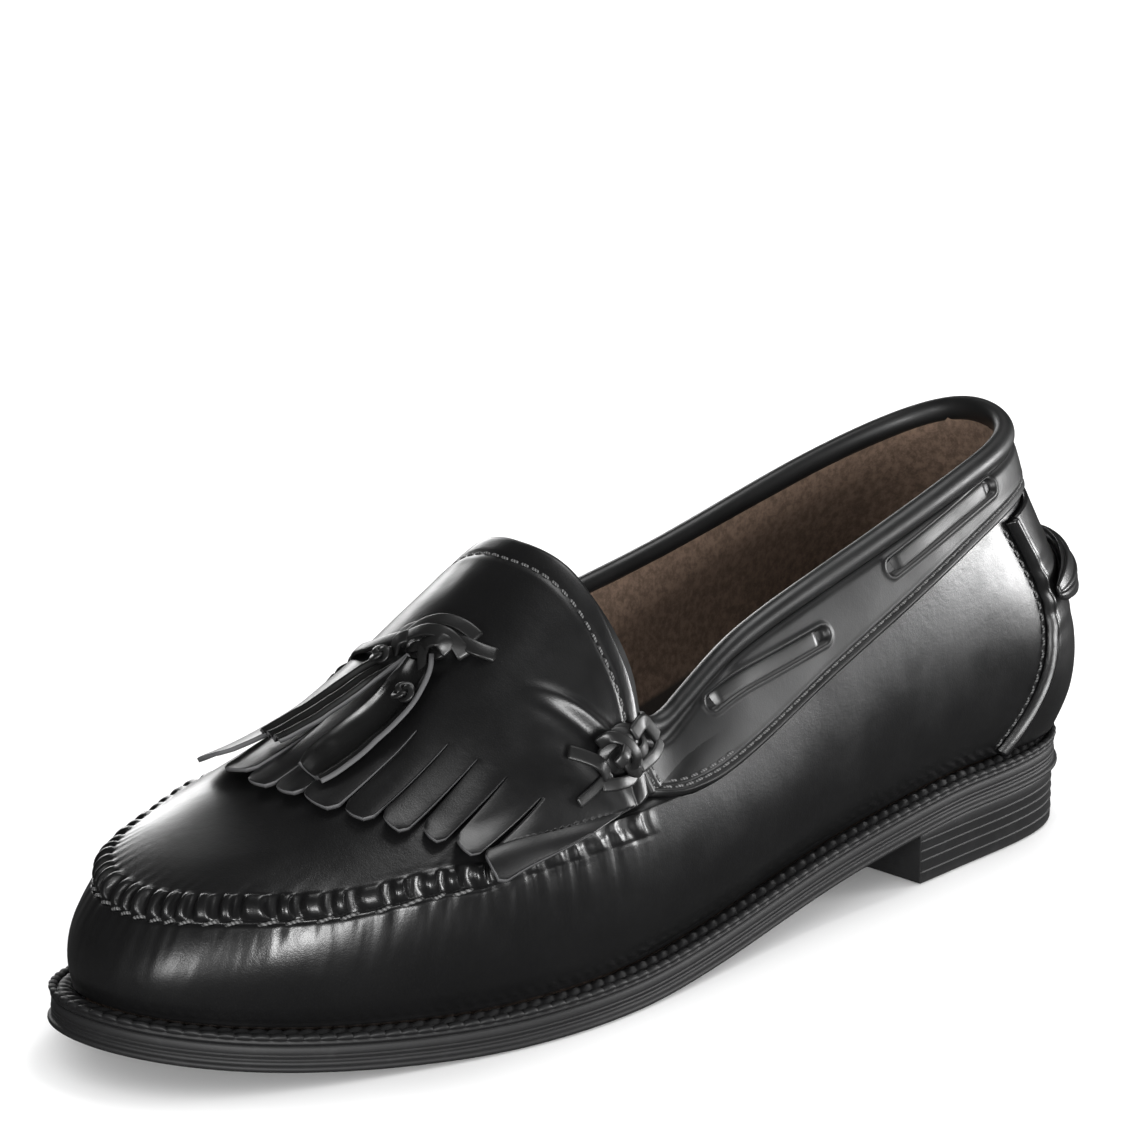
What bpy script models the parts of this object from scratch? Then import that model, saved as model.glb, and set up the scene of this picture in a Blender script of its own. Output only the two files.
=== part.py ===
"""A kiltie loafer for the left foot, standing empty on its sole.

The shoe points along -Y: heel at +Y, toe at -Y, the wearer's outer side at +X and up at +Z.
Every form comes from three closed loops round the last (feather line, seam, rim) and from
the dome of the vamp. Lengths in the tables are in millimetres; the objects are in metres.
Stations run along the foot: s is the distance from the back of the heel, x is across it.
Turns run round the last: 0 at the back of the heel, about 0.55 at the toe, outer side first.
"""

import math

import bmesh
import bpy
import numpy as np

# Driving dimensions, in millimetres
MM = 0.001
SOLE_LENGTH = 265.0
CENTRE_X = -2.0
CENTRE_Y = 2.5
HEEL_LIFT = 12.5
HEEL_BREAST = 65.0
WAIST_END = 162.0
SPRING_START = 188.0
TOE_SPRING = 8.0
OUTSOLE_EDGE = 5.6
WELT_EDGE = 2.2
GAP = 0.3
OVERLAY_GAP = 0.45
SEAT_GAP = 0.4
WALL = 1.8
WELT_SHELF = 4.6
HEEL_SHELF = 2.6
SHELF_WIDENS = (8.0, 45.0)
INSOLE_ABOVE_WELT = 2.4
BEAD_RADIUS = 2.1
BAND_THICK = 1.2
KILTIE_THICK = 1.5
LACE_WIDTH = 4.4
LACE_THICK = 1.3
ROUND = 64
FINE = 1600
TURN_STEP = 0.004
RISE_STEP = 0.02

# Sole outline, heel back to toe along the outer side and home along the inner side
# Columns: s, x
OUTLINE = (
    (0, 0), (3.2, 12), (12, 22.3), (28, 27.8), (47, 29.6), (66, 31.2), (95, 32.6), (120, 35.2),
    (148, 38.8), (172, 40.6), (194, 38.0), (215, 32.0), (236, 23.8), (252, 14), (261.5, 2.5),
    (264.6, -10), (261.5, -22.5), (251, -33), (233, -40.5), (210, -44.5), (185, -43.5),
    (158, -36.5), (130, -28.5), (100, -25.2), (70, -27.5), (42, -29.5), (18, -26.5), (4, -15),
)

# Seam loop: the plug's seam in front, the collar band's lower edge behind, and how far the
# wall below it swells out past its chord (lean puts the fullest place lower down)
# Columns: turn, s, x, z, swell, lean
SEAM = (
    (0.000, 12.0, 0.0, 76.0, 8.6, 0.60),
    (0.050, 18.5, 15.5, 75.5, 7.0, 0.50),
    (0.110, 42.0, 25.0, 71.0, 5.2, 0.35),
    (0.170, 72.0, 30.0, 62.0, 4.5, 0.30),
    (0.230, 103.0, 33.5, 52.0, 4.5, 0.30),
    (0.290, 137.0, 37.5, 42.0, 4.5, 0.20),
    (0.340, 163.0, 38.5, 41.5, 4.0, 0.10),
    (0.390, 190.0, 38.0, 41.0, 3.6, 0.00),
    (0.440, 213.0, 32.0, 38.5, 3.8, 0.00),
    (0.490, 234.0, 20.0, 36.5, 4.0, 0.00),
    (0.530, 246.0, 6.0, 37.0, 4.2, 0.10),
    (0.570, 250.0, -9.0, 37.5, 4.2, 0.10),
    (0.600, 245.0, -22.0, 38.0, 4.0, 0.10),
    (0.635, 228.0, -31.0, 39.0, 4.0, 0.10),
    (0.680, 204.0, -37.0, 43.0, 4.0, 0.10),
    (0.730, 172.0, -36.0, 45.0, 3.5, 0.10),
    (0.785, 135.0, -33.0, 46.0, 2.5, 0.10),
    (0.850, 90.0, -28.5, 56.0, 3.0, 0.20),
    (0.915, 42.0, -25.0, 71.0, 5.0, 0.35),
    (0.955, 20.0, -16.5, 75.5, 7.0, 0.50),
)

# Rim loop: the collar's topline behind, the throat's edge under the kiltie in front
# Columns: turn, s, x, z
RIM = (
    (0.000, 15.0, 0.0, 92.0),
    (0.050, 21.0, 13.0, 90.0),
    (0.110, 43.0, 20.5, 86.0),
    (0.170, 70.0, 23.5, 80.0),
    (0.230, 98.0, 25.5, 73.5),
    (0.290, 128.0, 28.0, 65.0),
    (0.340, 148.0, 30.0, 58.0),
    (0.390, 149.0, 27.0, 68.0),
    (0.440, 150.5, 20.0, 79.5),
    (0.490, 152.0, 11.0, 86.0),
    (0.530, 152.5, 3.0, 88.0),
    (0.570, 153.0, -4.0, 88.0),
    (0.600, 152.5, -11.5, 86.0),
    (0.635, 151.0, -20.0, 79.5),
    (0.680, 149.5, -27.5, 68.5),
    (0.730, 149.0, -31.5, 59.0),
    (0.785, 124.0, -32.0, 61.0),
    (0.850, 84.0, -29.0, 69.0),
    (0.915, 42.0, -23.5, 81.0),
    (0.955, 21.0, -14.0, 88.5),
)

# The vamp's dome: height of the seam's plane, rise of the ridge over it, and its centre line
# Columns: s, plane, rise, centre
DOME = (
    (140, 43.0, 50.0, 0.0),
    (152, 42.5, 45.0, 0.0),
    (165, 42.5, 36.0, 0.0),
    (180, 42.5, 26.0, 0.0),
    (195, 42.0, 17.0, -1.0),
    (208, 40.5, 12.0, -1.8),
    (225, 38.0, 9.0, -4.0),
    (250, 37.5, 8.0, -8.0),
)
DOME_HALF_WIDTH = 37.5
DOME_THROAT_HALF_WIDTH = 33.5
DOME_THROAT = (165.0, 140.0)
DOME_ROUND_START = 200.0
DOME_END = 250.5
DOME_TILT = -0.8
ACROSS_POWER = 2.6
ALONG_POWER = 2.2

# Where the front of the shoe follows the dome, as turns round the last
FRONT_FROM = (0.27, 0.36)
FRONT_TO = (0.71, 0.77)
BAND_START_COLUMN = 21
BAND_END_COLUMN = 48
BEAD_DROP = 3.5


def smooth(low, high, value):
    """Smooth step: 0 below low, 1 above high."""
    part = np.clip((value - low) / (high - low), 0, 1)
    return part * part * (3 - 2 * part)


def spline_ring(turns, rows, at):
    """Periodic cubic spline through rows at the given turns, read at the turns in at."""
    turns = np.asarray(turns, float)
    rows = np.asarray(rows, float)
    count = len(rows)
    knots = np.append(turns, turns[0] + 1)
    ends = np.vstack([rows, rows[:1]])
    steps = np.diff(knots)
    matrix = np.zeros((count, count))
    bends = np.zeros_like(rows)
    for i in range(count):
        before, after = steps[i - 1], steps[i]
        matrix[i, i - 1] += before
        matrix[i, i] += 2 * (before + after)
        matrix[i, (i + 1) % count] += after
        bends[i] = 6 * ((ends[i + 1] - rows[i]) / after - (rows[i] - rows[i - 1]) / before)
    bends = np.linalg.solve(matrix, bends)
    bends = np.vstack([bends, bends[:1]])
    where = turns[0] + (np.asarray(at, float) - turns[0]) % 1
    k = np.clip(np.searchsorted(knots, where, side="right") - 1, 0, count - 1)
    step = steps[k][:, None]
    left = (knots[k + 1] - where)[:, None]
    right = (where - knots[k])[:, None]
    curve = (bends[k] * left**3 + bends[k + 1] * right**3) / (6 * step)
    curve += (ends[k] / step - bends[k] * step / 6) * left
    return curve + (ends[k + 1] / step - bends[k + 1] * step / 6) * right


def chord_turns(rows):
    """Turns 0 to 1 for rows of a closed outline, by the length of its chords."""
    rows = np.asarray(rows, float)
    chords = np.linalg.norm(np.roll(rows, -1, 0) - rows, axis=1)
    return np.concatenate([[0], np.cumsum(chords)[:-1]]) / chords.sum()


def outward(loop):
    """Unit vectors, as (s, x), that point out of a closed loop in plan."""
    along = np.roll(loop, -1, 0)[:, :2] - np.roll(loop, 1, 0)[:, :2]
    along /= np.linalg.norm(along, axis=1)[:, None]
    return np.stack([-along[:, 1], along[:, 0]], 1)


def table(rows, s, column):
    """Smooth reading of one column of a table whose first column is s."""
    rows = np.asarray(rows, float)
    known, values = rows[:, 0], rows[:, column]
    slopes = np.gradient(values, known)
    s = np.clip(s, known[0], known[-1])
    k = np.clip(np.searchsorted(known, s, side="right") - 1, 0, len(known) - 2)
    step = known[k + 1] - known[k]
    t = (s - known[k]) / step
    start = (2 * t**3 - 3 * t**2 + 1) * values[k] + (t**3 - 2 * t**2 + t) * step * slopes[k]
    return start + (3 * t**2 - 2 * t**3) * values[k + 1] + (t**3 - t**2) * step * slopes[k + 1]


def sole_bottom(s):
    """Height of the outsole's lower face: lifted over the heel, sprung at the toe."""
    s = np.asarray(s, float)
    waist = HEEL_LIFT * (1 - smooth(HEEL_BREAST - 20, WAIST_END, s))
    spring = np.clip((s - SPRING_START) / (SOLE_LENGTH - SPRING_START), 0, None)
    return waist + TOE_SPRING * spring**2


def welt_top(s):
    """Height of the shelf that the upper stands on."""
    return sole_bottom(s) + OUTSOLE_EDGE + GAP + WELT_EDGE


def outline(turns):
    """The sole's edge as (s, x) rows at the given turns."""
    return spline_ring(chord_turns(OUTLINE), OUTLINE, turns)


def dome_half_width(s):
    """Half the dome's width: it narrows a little towards the throat."""
    narrower = (DOME_HALF_WIDTH - DOME_THROAT_HALF_WIDTH) * smooth(*DOME_THROAT, s)
    return DOME_HALF_WIDTH - narrower


def dome(x, s):
    """Height of the vamp over plan point (x, s): a tilted plane plus a superelliptic dome."""
    across = np.abs(x - table(DOME, s, 3)) / dome_half_width(s)
    along = np.clip((s - DOME_ROUND_START) / (DOME_END - DOME_ROUND_START), 0, 1)
    radius = np.clip(across**ACROSS_POWER + along**ALONG_POWER, 0, 1)
    plane = table(DOME, s, 1) + DOME_TILT * x / DOME_HALF_WIDTH
    return plane + table(DOME, s, 2) * (1 - radius)


def dome_normal(x, s):
    """Unit normals of the dome in world axes (x, y, z), by small differences."""
    step = 0.5
    across = (dome(x + step, s) - dome(x - step, s)) / (2 * step)
    along = (dome(x, s + step) - dome(x, s - step)) / (2 * step)
    normal = np.stack([-across, along, np.ones_like(across)], -1)
    return normal / np.linalg.norm(normal, axis=-1, keepdims=True)


def front_share(turns):
    """1 where the upper follows the dome, 0 round the collar."""
    turns = np.asarray(turns) % 1
    return smooth(*FRONT_FROM, turns) * (1 - smooth(*FRONT_TO, turns))


def seam_ring(turns):
    """The seam loop as (s, x, z) rows, laid on the dome in front."""
    ring = spline_ring([row[0] for row in SEAM], [row[1:4] for row in SEAM], turns)
    front = front_share(turns)
    ring[:, 2] += front * (dome(ring[:, 1], ring[:, 0]) - ring[:, 2])
    return ring


def rim_ring(turns):
    """The rim loop as (s, x, z) rows, laid on the dome in front."""
    ring = spline_ring([row[0] for row in RIM], [row[1:4] for row in RIM], turns)
    front = front_share(turns)
    ring[:, 2] += front * (dome(ring[:, 1], ring[:, 0]) - ring[:, 2])
    return ring


def shelf_width(s):
    """How far the sole's edge stands out past the upper: less round the heel."""
    return HEEL_SHELF + (WELT_SHELF - HEEL_SHELF) * smooth(*SHELF_WIDENS, s)


def feather_ring(turns):
    """Where the upper meets the welt: the sole's outline moved in by the shelf, then read at
    even shares of its length between the back of the heel and the tip of the toe."""
    fine = np.arange(FINE) / FINE
    edge = outline(fine)
    edge = edge - outward(edge) * shelf_width(edge[:, 0])[:, None]
    ring = np.vstack([edge, edge[:1]])
    run = np.concatenate([[0], np.cumsum(np.linalg.norm(np.diff(ring, axis=0), axis=1))])
    seam = spline_ring([row[0] for row in SEAM], [row[1:3] for row in SEAM], fine)
    seam = np.vstack([seam, seam[:1]])
    seam_run = np.concatenate([[0], np.cumsum(np.linalg.norm(np.diff(seam, axis=0), axis=1))])
    toe, seam_toe = run[np.argmax(ring[:, 0])], seam_run[np.argmax(seam[:, 0])]
    here = np.interp(np.asarray(turns) % 1, np.append(fine, 1), seam_run)
    outer = here / seam_toe * toe
    inner = toe + (here - seam_toe) / (seam_run[-1] - seam_toe) * (run[-1] - toe)
    reach = np.where(here <= seam_toe, outer, inner)
    s, x = np.interp(reach, run, ring[:, 0]), np.interp(reach, run, ring[:, 1])
    return np.stack([s, x, welt_top(s) + SEAT_GAP], 1)


def feather_outward(turns):
    """Unit (s, x) vectors out of the feather line at any turns."""
    along = feather_ring(turns + TURN_STEP)[:, :2] - feather_ring(turns - TURN_STEP)[:, :2]
    along /= np.linalg.norm(along, axis=1)[:, None]
    return np.stack([-along[:, 1], along[:, 0]], 1)


def wall_row(turns, rise):
    """A row of the side wall: rise 0 on the feather line, 1 on the seam, per turn."""
    feather, seam = feather_ring(turns), seam_ring(turns)
    swell, lean = spline_ring([r[0] for r in SEAM], [r[4:6] for r in SEAM], turns).T
    rise = np.broadcast_to(rise, turns.shape)
    row = feather * (1 - rise)[:, None] + seam * rise[:, None]
    bulge = 4 * rise * (1 - rise) * (1 + lean * (1 - 2 * rise)) * swell
    row[:, :2] += feather_outward(turns) * bulge[:, None]
    return row


def top_row(turns, rise):
    """A row above the seam: rise 0 on the seam, 1 on the rim."""
    seam, rim = seam_ring(turns), rim_ring(turns)
    rise = np.broadcast_to(rise, turns.shape)
    row = seam * (1 - rise)[:, None] + rim * rise[:, None]
    front = front_share(turns)
    row[:, 2] += front * (dome(row[:, 1], row[:, 0]) - row[:, 2])
    return row


def face_place(turns, rises):
    """World points of the upper's plain outer face; rises run 0 to 1 up the wall and 1 to 2
    from the seam to the rim."""
    turns, rises = np.broadcast_arrays(np.asarray(turns, float), np.asarray(rises, float))
    flat, rise = turns.reshape(-1), rises.reshape(-1)
    wall = wall_row(flat, np.clip(rise, 0, 1))
    top = top_row(flat, np.clip(rise - 1, 0, 1))
    rows = np.where((rise <= 1)[:, None], wall, top)
    return world(rows).reshape(*turns.shape, 3)


def face_point(turns, rises, offset):
    """Points at a height of offset over the upper's outer face, along its normal."""
    turns, rises = np.broadcast_arrays(np.asarray(turns, float), np.asarray(rises, float))
    up = face_place(turns, rises + RISE_STEP) - face_place(turns, rises - RISE_STEP)
    around = face_place(turns + TURN_STEP, rises) - face_place(turns - TURN_STEP, rises)
    normal = np.cross(up, around)
    normal /= np.linalg.norm(normal, axis=-1, keepdims=True)
    return face_place(turns, rises) + normal * np.asarray(offset, float)[..., None]


def dome_point(x, s, offset):
    """World points at a height of offset over the vamp's dome."""
    x, s, offset = np.broadcast_arrays(*(np.asarray(v, float) for v in (x, s, offset)))
    base = world(np.stack([s, x, dome(x, s)], -1))
    return base + dome_normal(x, s) * offset[..., None]


def world(rows):
    """(s, x, z) rows as world points (x, y, z), still in millimetres."""
    rows = np.asarray(rows, float)
    x = rows[..., 1] - CENTRE_X
    return np.stack([x, SOLE_LENGTH / 2 - rows[..., 0] - CENTRE_Y, rows[..., 2]], -1)


def station(y):
    """The station s of a world y, both in millimetres."""
    return SOLE_LENGTH / 2 - CENTRE_Y - y


def grid_normals(points, closed=True):
    """Unit normals of a grid of points: rows up the form, columns round it."""
    up = np.gradient(points, axis=0)
    if closed:
        around = np.roll(points, -1, 1) - np.roll(points, 1, 1)
    else:
        around = np.gradient(points, axis=1)
    normal = np.cross(up, around)
    return normal / np.linalg.norm(normal, axis=-1, keepdims=True)


def lower_edge_drop(turns):
    """How far below the rim the upper's edge stops: under the bead behind, nil in front."""
    turns = np.asarray(turns) % 1
    step = 0.25 / ROUND
    start, end = BAND_START_COLUMN / ROUND, BAND_END_COLUMN / ROUND
    under_band = (turns < start + step) | (turns > end - step)
    return np.where(under_band, BEAD_DROP, 0.0)


# The plug seam's raised ridge. Columns: below the seam, raise
RIDGE = ((5.4, 0.0), (4.4, 1.3), (1.4, 1.6), (0.3, 0.2))
WALL_RISES = (0.0, 0.12, 0.27, 0.43, 0.60)
TOP_RISES = (0.12, 0.27, 0.43, 0.60, 0.78)


def upper_grid(turns):
    """The upper's outer face: side wall, the raised plug seam as a step, vamp and collar."""
    wall_height = seam_ring(turns)[:, 2] - feather_ring(turns)[:, 2]
    rows = [wall_row(turns, rise) for rise in WALL_RISES]
    lifts = [np.zeros_like(turns) for _ in WALL_RISES]
    front = front_share(turns)
    for below, raised in RIDGE:
        rows.append(wall_row(turns, 1 - below / wall_height))
        lifts.append(raised * front)
    span = np.linalg.norm(rim_ring(turns) - seam_ring(turns), axis=1)
    last = 1 - lower_edge_drop(turns) / span
    for rise in TOP_RISES:
        rows.append(top_row(turns, rise * last))
        lifts.append(np.zeros_like(turns))
    rows.append(top_row(turns, last))
    lifts.append(np.zeros_like(turns))
    plain = world(np.array(rows))
    normals = grid_normals(plain)
    return plain + normals * np.array(lifts)[..., None], plain, normals


def material(name, colour, roughness, coat=0.0):
    """A plain Principled material; scene.py draws the real finish."""
    made = bpy.data.materials.new(name)
    made.use_nodes = True
    shader = made.node_tree.nodes["Principled BSDF"]
    shader.inputs["Base Color"].default_value = (*colour, 1)
    shader.inputs["Roughness"].default_value = roughness
    shader.inputs["Metallic"].default_value = 0.0
    shader.inputs["Coat Weight"].default_value = coat
    return made


def add_object(name, points, faces, finish):
    """One object from points in millimetres, its faces turned outwards."""
    mesh = bpy.data.meshes.new(name)
    mesh.from_pydata((np.asarray(points, float) * MM).tolist(), [], faces)
    work = bmesh.new()
    work.from_mesh(mesh)
    bmesh.ops.recalc_face_normals(work, faces=work.faces)
    if work.calc_volume(signed=True) < 0:
        bmesh.ops.reverse_faces(work, faces=work.faces)
    work.to_mesh(mesh)
    work.free()
    mesh.materials.append(finish)
    mesh.shade_smooth()
    mesh.set_sharp_from_angle(angle=math.radians(40))
    made = bpy.data.objects.new(name, mesh)
    bpy.context.scene.collection.objects.link(made)
    return made


def ring_faces(rows, columns):
    """Faces of a torus-like grid that closes both ways."""
    faces = []
    for i in range(rows):
        for j in range(columns):
            a, b = i * columns + j, i * columns + (j + 1) % columns
            c, d = ((i + 1) % rows) * columns + (j + 1) % columns, ((i + 1) % rows) * columns + j
            faces.append((a, b, c, d))
    return faces


def tube_faces(rows, columns):
    """Faces of a grid of closed rows, with a flat cap on the first and the last row."""
    faces = [f for f in ring_faces(rows, columns) if max(f) - min(f) < (rows - 1) * columns]
    faces.append(tuple(range(columns)))
    faces.append(tuple(range((rows - 1) * columns, rows * columns)))
    return faces


def add_upper(leather):
    """The hollow upper: one wall from the welt to the rim, its inside free of the ridge."""
    turns = np.arange(ROUND) / ROUND
    outer, plain, normals = upper_grid(turns)
    ridge = slice(len(WALL_RISES), len(WALL_RISES) + len(RIDGE) - 1)
    inner = np.delete(plain - normals * WALL, ridge, axis=0)
    inner[0, :, 2] = welt_top(station(inner[0, :, 1])) + SEAT_GAP
    points = np.concatenate([outer, inner[::-1]])
    return add_object("upper", points.reshape(-1, 3), ring_faces(*points.shape[:2]), leather)


def edge_rings(profile, count):
    """Rings round the sole outline from a profile of (height, inset) rows."""
    turns = np.arange(count) / count
    edge = outline(turns)
    out = outward(edge)
    rings = []
    for height, inset in profile:
        place = edge - out * inset
        rings.append(world(np.column_stack([place, sole_bottom(place[:, 0]) + height])))
    return np.array(rings)


# Columns: height, inset
OUTSOLE_PROFILE = (
    (0.0, 0.4), (0.5, -0.5), (1.3, -0.5), (1.9, 0.35), (2.9, 0.35), (3.2, 0.75), (3.5, 0.35),
    (4.9, 0.35), (5.6, 1.3),
)


def add_outsole(rubber):
    """The walked-on layer from heel to toe, with its lip and grooves round the edge."""
    rings = edge_rings(OUTSOLE_PROFILE, ROUND)
    rings = np.concatenate([middle_ring(rings[0])[None], rings, middle_ring(rings[-1])[None]])
    faces = strip_caps(*rings.shape[:2])
    return add_object("outsole", rings.reshape(-1, 3), faces, rubber)


MIDDLE_WIDTH = 0.35
MIDDLE_LENGTH = 0.93


def middle_ring(ring):
    """A ring drawn in to the foot's centre line, kept at the heights of its own stations."""
    inner = ring.copy()
    inner[:, 0] = ring[:, 0] * MIDDLE_WIDTH
    centre = ring[:, 1].mean()
    inner[:, 1] = centre + (ring[:, 1] - centre) * MIDDLE_LENGTH
    inner[:, 2] += sole_bottom(station(inner[:, 1])) - sole_bottom(station(ring[:, 1]))
    return inner


def strip_caps(rows, columns):
    """Grid faces between closed rows, with the first and last rows bridged side to side."""
    faces = [f for f in ring_faces(rows, columns) if max(f) - min(f) < (rows - 1) * columns]
    for start in (0, (rows - 1) * columns):
        for i in range(columns // 2 - 1):
            a, b = start + (columns - i) % columns, start + i
            c, d = start + i + 1, start + columns - i - 1
            if a == b:
                faces.append((b, c, d))
            else:
                faces.append((a, b, c, d))
        faces.append((start + columns // 2 + 1, start + columns // 2 - 1, start + columns // 2))
    return faces


# Columns: height above the outsole, inset
WELT_PROFILE = (
    (0.0, 1.5), (0.0, 0.3), (0.6, -0.1), (1.5, 0.0), (1.7, 0.7), (2.2, 1.1), (2.2, 3.6),
)


def add_welt(rubber):
    """The strip between outsole and upper, its rim proud and its top face a shelf."""
    base = OUTSOLE_EDGE + GAP
    rings = list(edge_rings([(base + height, inset) for height, inset in WELT_PROFILE], ROUND))
    hidden = insole_outline(-GAP)
    s = hidden[:, 0]
    rings.append(world(np.column_stack([hidden, sole_bottom(s) + base + WELT_EDGE])))
    rings.append(world(np.column_stack([hidden, sole_bottom(s) + base])))
    rings = np.array(rings)
    return add_object("welt", rings.reshape(-1, 3), ring_faces(*rings.shape[:2]), rubber)


def insole_outline(inset):
    """The outline inside the upper's wall, moved in by inset."""
    turns = np.arange(ROUND) / ROUND
    edge = outline(turns)
    return edge - outward(edge) * (shelf_width(edge[:, 0]) + WALL + 2 * GAP + inset)[:, None]


INSOLE_ROUND = 0.7


def add_insole(sock):
    """The footbed: it fills the welt's ring and ends above the upper's lower edge."""
    edge = insole_outline(0)
    rounded = edge - outward(edge) * INSOLE_ROUND
    floor = OUTSOLE_EDGE + GAP
    top = floor + WELT_EDGE + INSOLE_ABOVE_WELT
    rings = []
    for plan, height in ((edge, floor), (edge, top - INSOLE_ROUND), (rounded, top)):
        rings.append(world(np.column_stack([plan, sole_bottom(plan[:, 0]) + height])))
    rings = np.array(rings)
    rings = np.concatenate([middle_ring(rings[0])[None], rings, middle_ring(rings[-1])[None]])
    return add_object("insole", rings.reshape(-1, 3), strip_caps(*rings.shape[:2]), sock)


HEEL_GROOVES = (2.6, 5.2, 7.4, 9.6)
GROOVE_HALF = 0.35
GROOVE_DEPTH = 0.55
HEEL_INSET = 0.7
HEEL_BACK_COLUMNS = 22
HEEL_BREAST_COLUMNS = 6


def heel_plan(inset):
    """The heel's outline seen from above: the sole's back and a straight breast."""
    fine = outline(np.arange(FINE) / FINE)
    fine = fine - outward(fine) * (HEEL_INSET + inset)
    keep = fine[:, 0] <= HEEL_BREAST - inset
    back = np.roll(fine, -np.argmin(keep), axis=0)
    back = back[np.roll(keep, -np.argmin(keep))]
    run = np.concatenate([[0], np.cumsum(np.linalg.norm(np.diff(back, axis=0), axis=1))])
    at = np.linspace(0, run[-1], HEEL_BACK_COLUMNS)
    curve = np.stack([np.interp(at, run, back[:, 0]), np.interp(at, run, back[:, 1])], 1)
    share = np.linspace(0, 1, HEEL_BREAST_COLUMNS + 2)[1:-1, None]
    return np.concatenate([curve, curve[-1] * (1 - share) + curve[0] * share])


def add_heel(rubber):
    """The heel block, cut level with the ground and grooved like stacked lifts."""
    levels = [(0.0, GROOVE_DEPTH), (GROOVE_DEPTH, 0.0)]
    for groove in HEEL_GROOVES:
        levels.append((groove - GROOVE_HALF, 0.0))
        levels.append((groove, GROOVE_DEPTH))
        levels.append((groove + GROOVE_HALF, 0.0))
    rings = []
    for height, inset in levels:
        plan = heel_plan(inset)
        rings.append(world(np.column_stack([plan, np.full(len(plan), height)])))
    plan = heel_plan(0.0)
    rings.append(world(np.column_stack([plan, sole_bottom(plan[:, 0]) - GAP])))
    rings = np.array(rings)
    return add_object("heel", rings.reshape(-1, 3), tube_faces(*rings.shape[:2]), rubber)


def rim_frame(turns):
    """The rim's points with unit vectors out of the wall and up along it."""
    rim = world(rim_ring(turns))
    up = rim - world(top_row(turns, 0.75))
    up /= np.linalg.norm(up, axis=1)[:, None]
    around = world(rim_ring(turns + TURN_STEP)) - world(rim_ring(turns - TURN_STEP))
    out = np.cross(up, around)
    out /= np.linalg.norm(out, axis=1)[:, None]
    return rim, out, up


BEAD_ANGLES = (-75, -120, -165, 150, 105, 60, 15, -25)
BEAD_SINK = 1.0
BAND_LOW_RISE = 1.02


def add_collar_band(leather):
    """The folded band round the topline: a flat cuff cut off the upper's face by a gap, and
    the padded bead that caps the rim. One profile, carried from knot to knot."""
    turns = np.arange(BAND_END_COLUMN, ROUND + BAND_START_COLUMN + 1) / ROUND
    rim, out, up = rim_frame(turns)
    height = np.linalg.norm(rim - world(seam_ring(turns)), axis=1)
    top = 2 - BEAD_DROP / height
    low = np.full_like(turns, BAND_LOW_RISE)
    cuff = (low, (low + top) / 2, top)
    under = np.full_like(turns, OVERLAY_GAP)
    profile = [face_point(turns, rise, under) for rise in cuff]
    centre = rim - out * (WALL / 2) - up * BEAD_SINK
    for angle in BEAD_ANGLES:
        turn = math.radians(angle)
        profile.append(centre + BEAD_RADIUS * (math.cos(turn) * out + math.sin(turn) * up))
    profile += [face_point(turns, rise, under + BAND_THICK) for rise in reversed(cuff)]
    grid = np.array(profile).transpose(1, 0, 2)
    return add_object("collar_band", grid.reshape(-1, 3), tube_faces(*grid.shape[:2]), leather)


# Heel strip between its two seams: half width in turns at each rise of the wall
# Columns: rise, half turn
STRIP = (
    (0.03, 0.105), (0.12, 0.098), (0.27, 0.086), (0.43, 0.077), (0.60, 0.074), (0.78, 0.076),
    (0.96, 0.081),
)
STRIP_SEAM_SHARES = (0.86, 0.95, 1.0)
STRIP_INNER_SHARE = 0.8
STRIP_INNER_COLUMNS = 17
STRIP_INNER_SIDE = 0.86
STRIP_THICK = 1.0
SEAM_RAISE = 0.8


def slab(outer, inner):
    """Closed slab from two open grids of the same shape."""
    rows, columns = outer.shape[:2]
    points = np.concatenate([outer.reshape(-1, 3), inner.reshape(-1, 3)])
    under = rows * columns
    faces = []
    for i in range(rows - 1):
        for j in range(columns - 1):
            a = i * columns + j
            quad = (a, a + 1, a + columns + 1, a + columns)
            faces.append(quad)
            faces.append(tuple(under + k for k in reversed(quad)))
    border = list(range(columns))
    border += [i * columns + columns - 1 for i in range(1, rows)]
    border += [(rows - 1) * columns + j for j in range(columns - 2, -1, -1)]
    border += [i * columns for i in range(rows - 2, 0, -1)]
    for a, b in zip(border, border[1:] + border[:1]):
        faces.append((b, a, under + a, under + b))
    return points, faces


def add_heel_strip(leather):
    """The hourglass piece up the back, its two long edges raised as sewn seams."""
    rises = np.array([row[0] for row in STRIP])[:, None]
    half = np.array([row[1] for row in STRIP])[:, None]
    share = np.array(STRIP_SEAM_SHARES)[None, :]
    inner = np.linspace(-STRIP_INNER_SHARE, STRIP_INNER_SHARE, STRIP_INNER_COLUMNS)[None, :]
    share = np.concatenate([-share[:, ::-1], inner, share], axis=1)
    turns = half * share * np.where(share < 0, STRIP_INNER_SIDE, 1)
    rises = np.broadcast_to(rises, turns.shape)
    edge = SEAM_RAISE * (np.abs(share) > STRIP_SEAM_SHARES[0])
    outer = face_point(turns, rises, OVERLAY_GAP + STRIP_THICK + edge)
    inner = face_point(turns, rises, np.full_like(turns, OVERLAY_GAP))
    points, faces = slab(outer, inner)
    return add_object("heel_strip", points, faces, leather)


def tube_along(centres, lifts, widths, heights, facets=8):
    """Closed tube of elliptical section along centres, its thickness along the unit lifts."""
    sides = np.cross(np.gradient(centres, axis=0), lifts)
    sides /= np.linalg.norm(sides, axis=1)[:, None]
    angles = np.arange(facets) / facets * 2 * math.pi
    rings = []
    for centre, side, lift, width, height in zip(centres, sides, lifts, widths, heights):
        across = np.cos(angles)[:, None] * side * (width / 2)
        rings.append(centre + across + np.sin(angles)[:, None] * lift * (height / 2))
    rings = np.array(rings)
    return rings.reshape(-1, 3), tube_faces(*rings.shape[:2])


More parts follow.
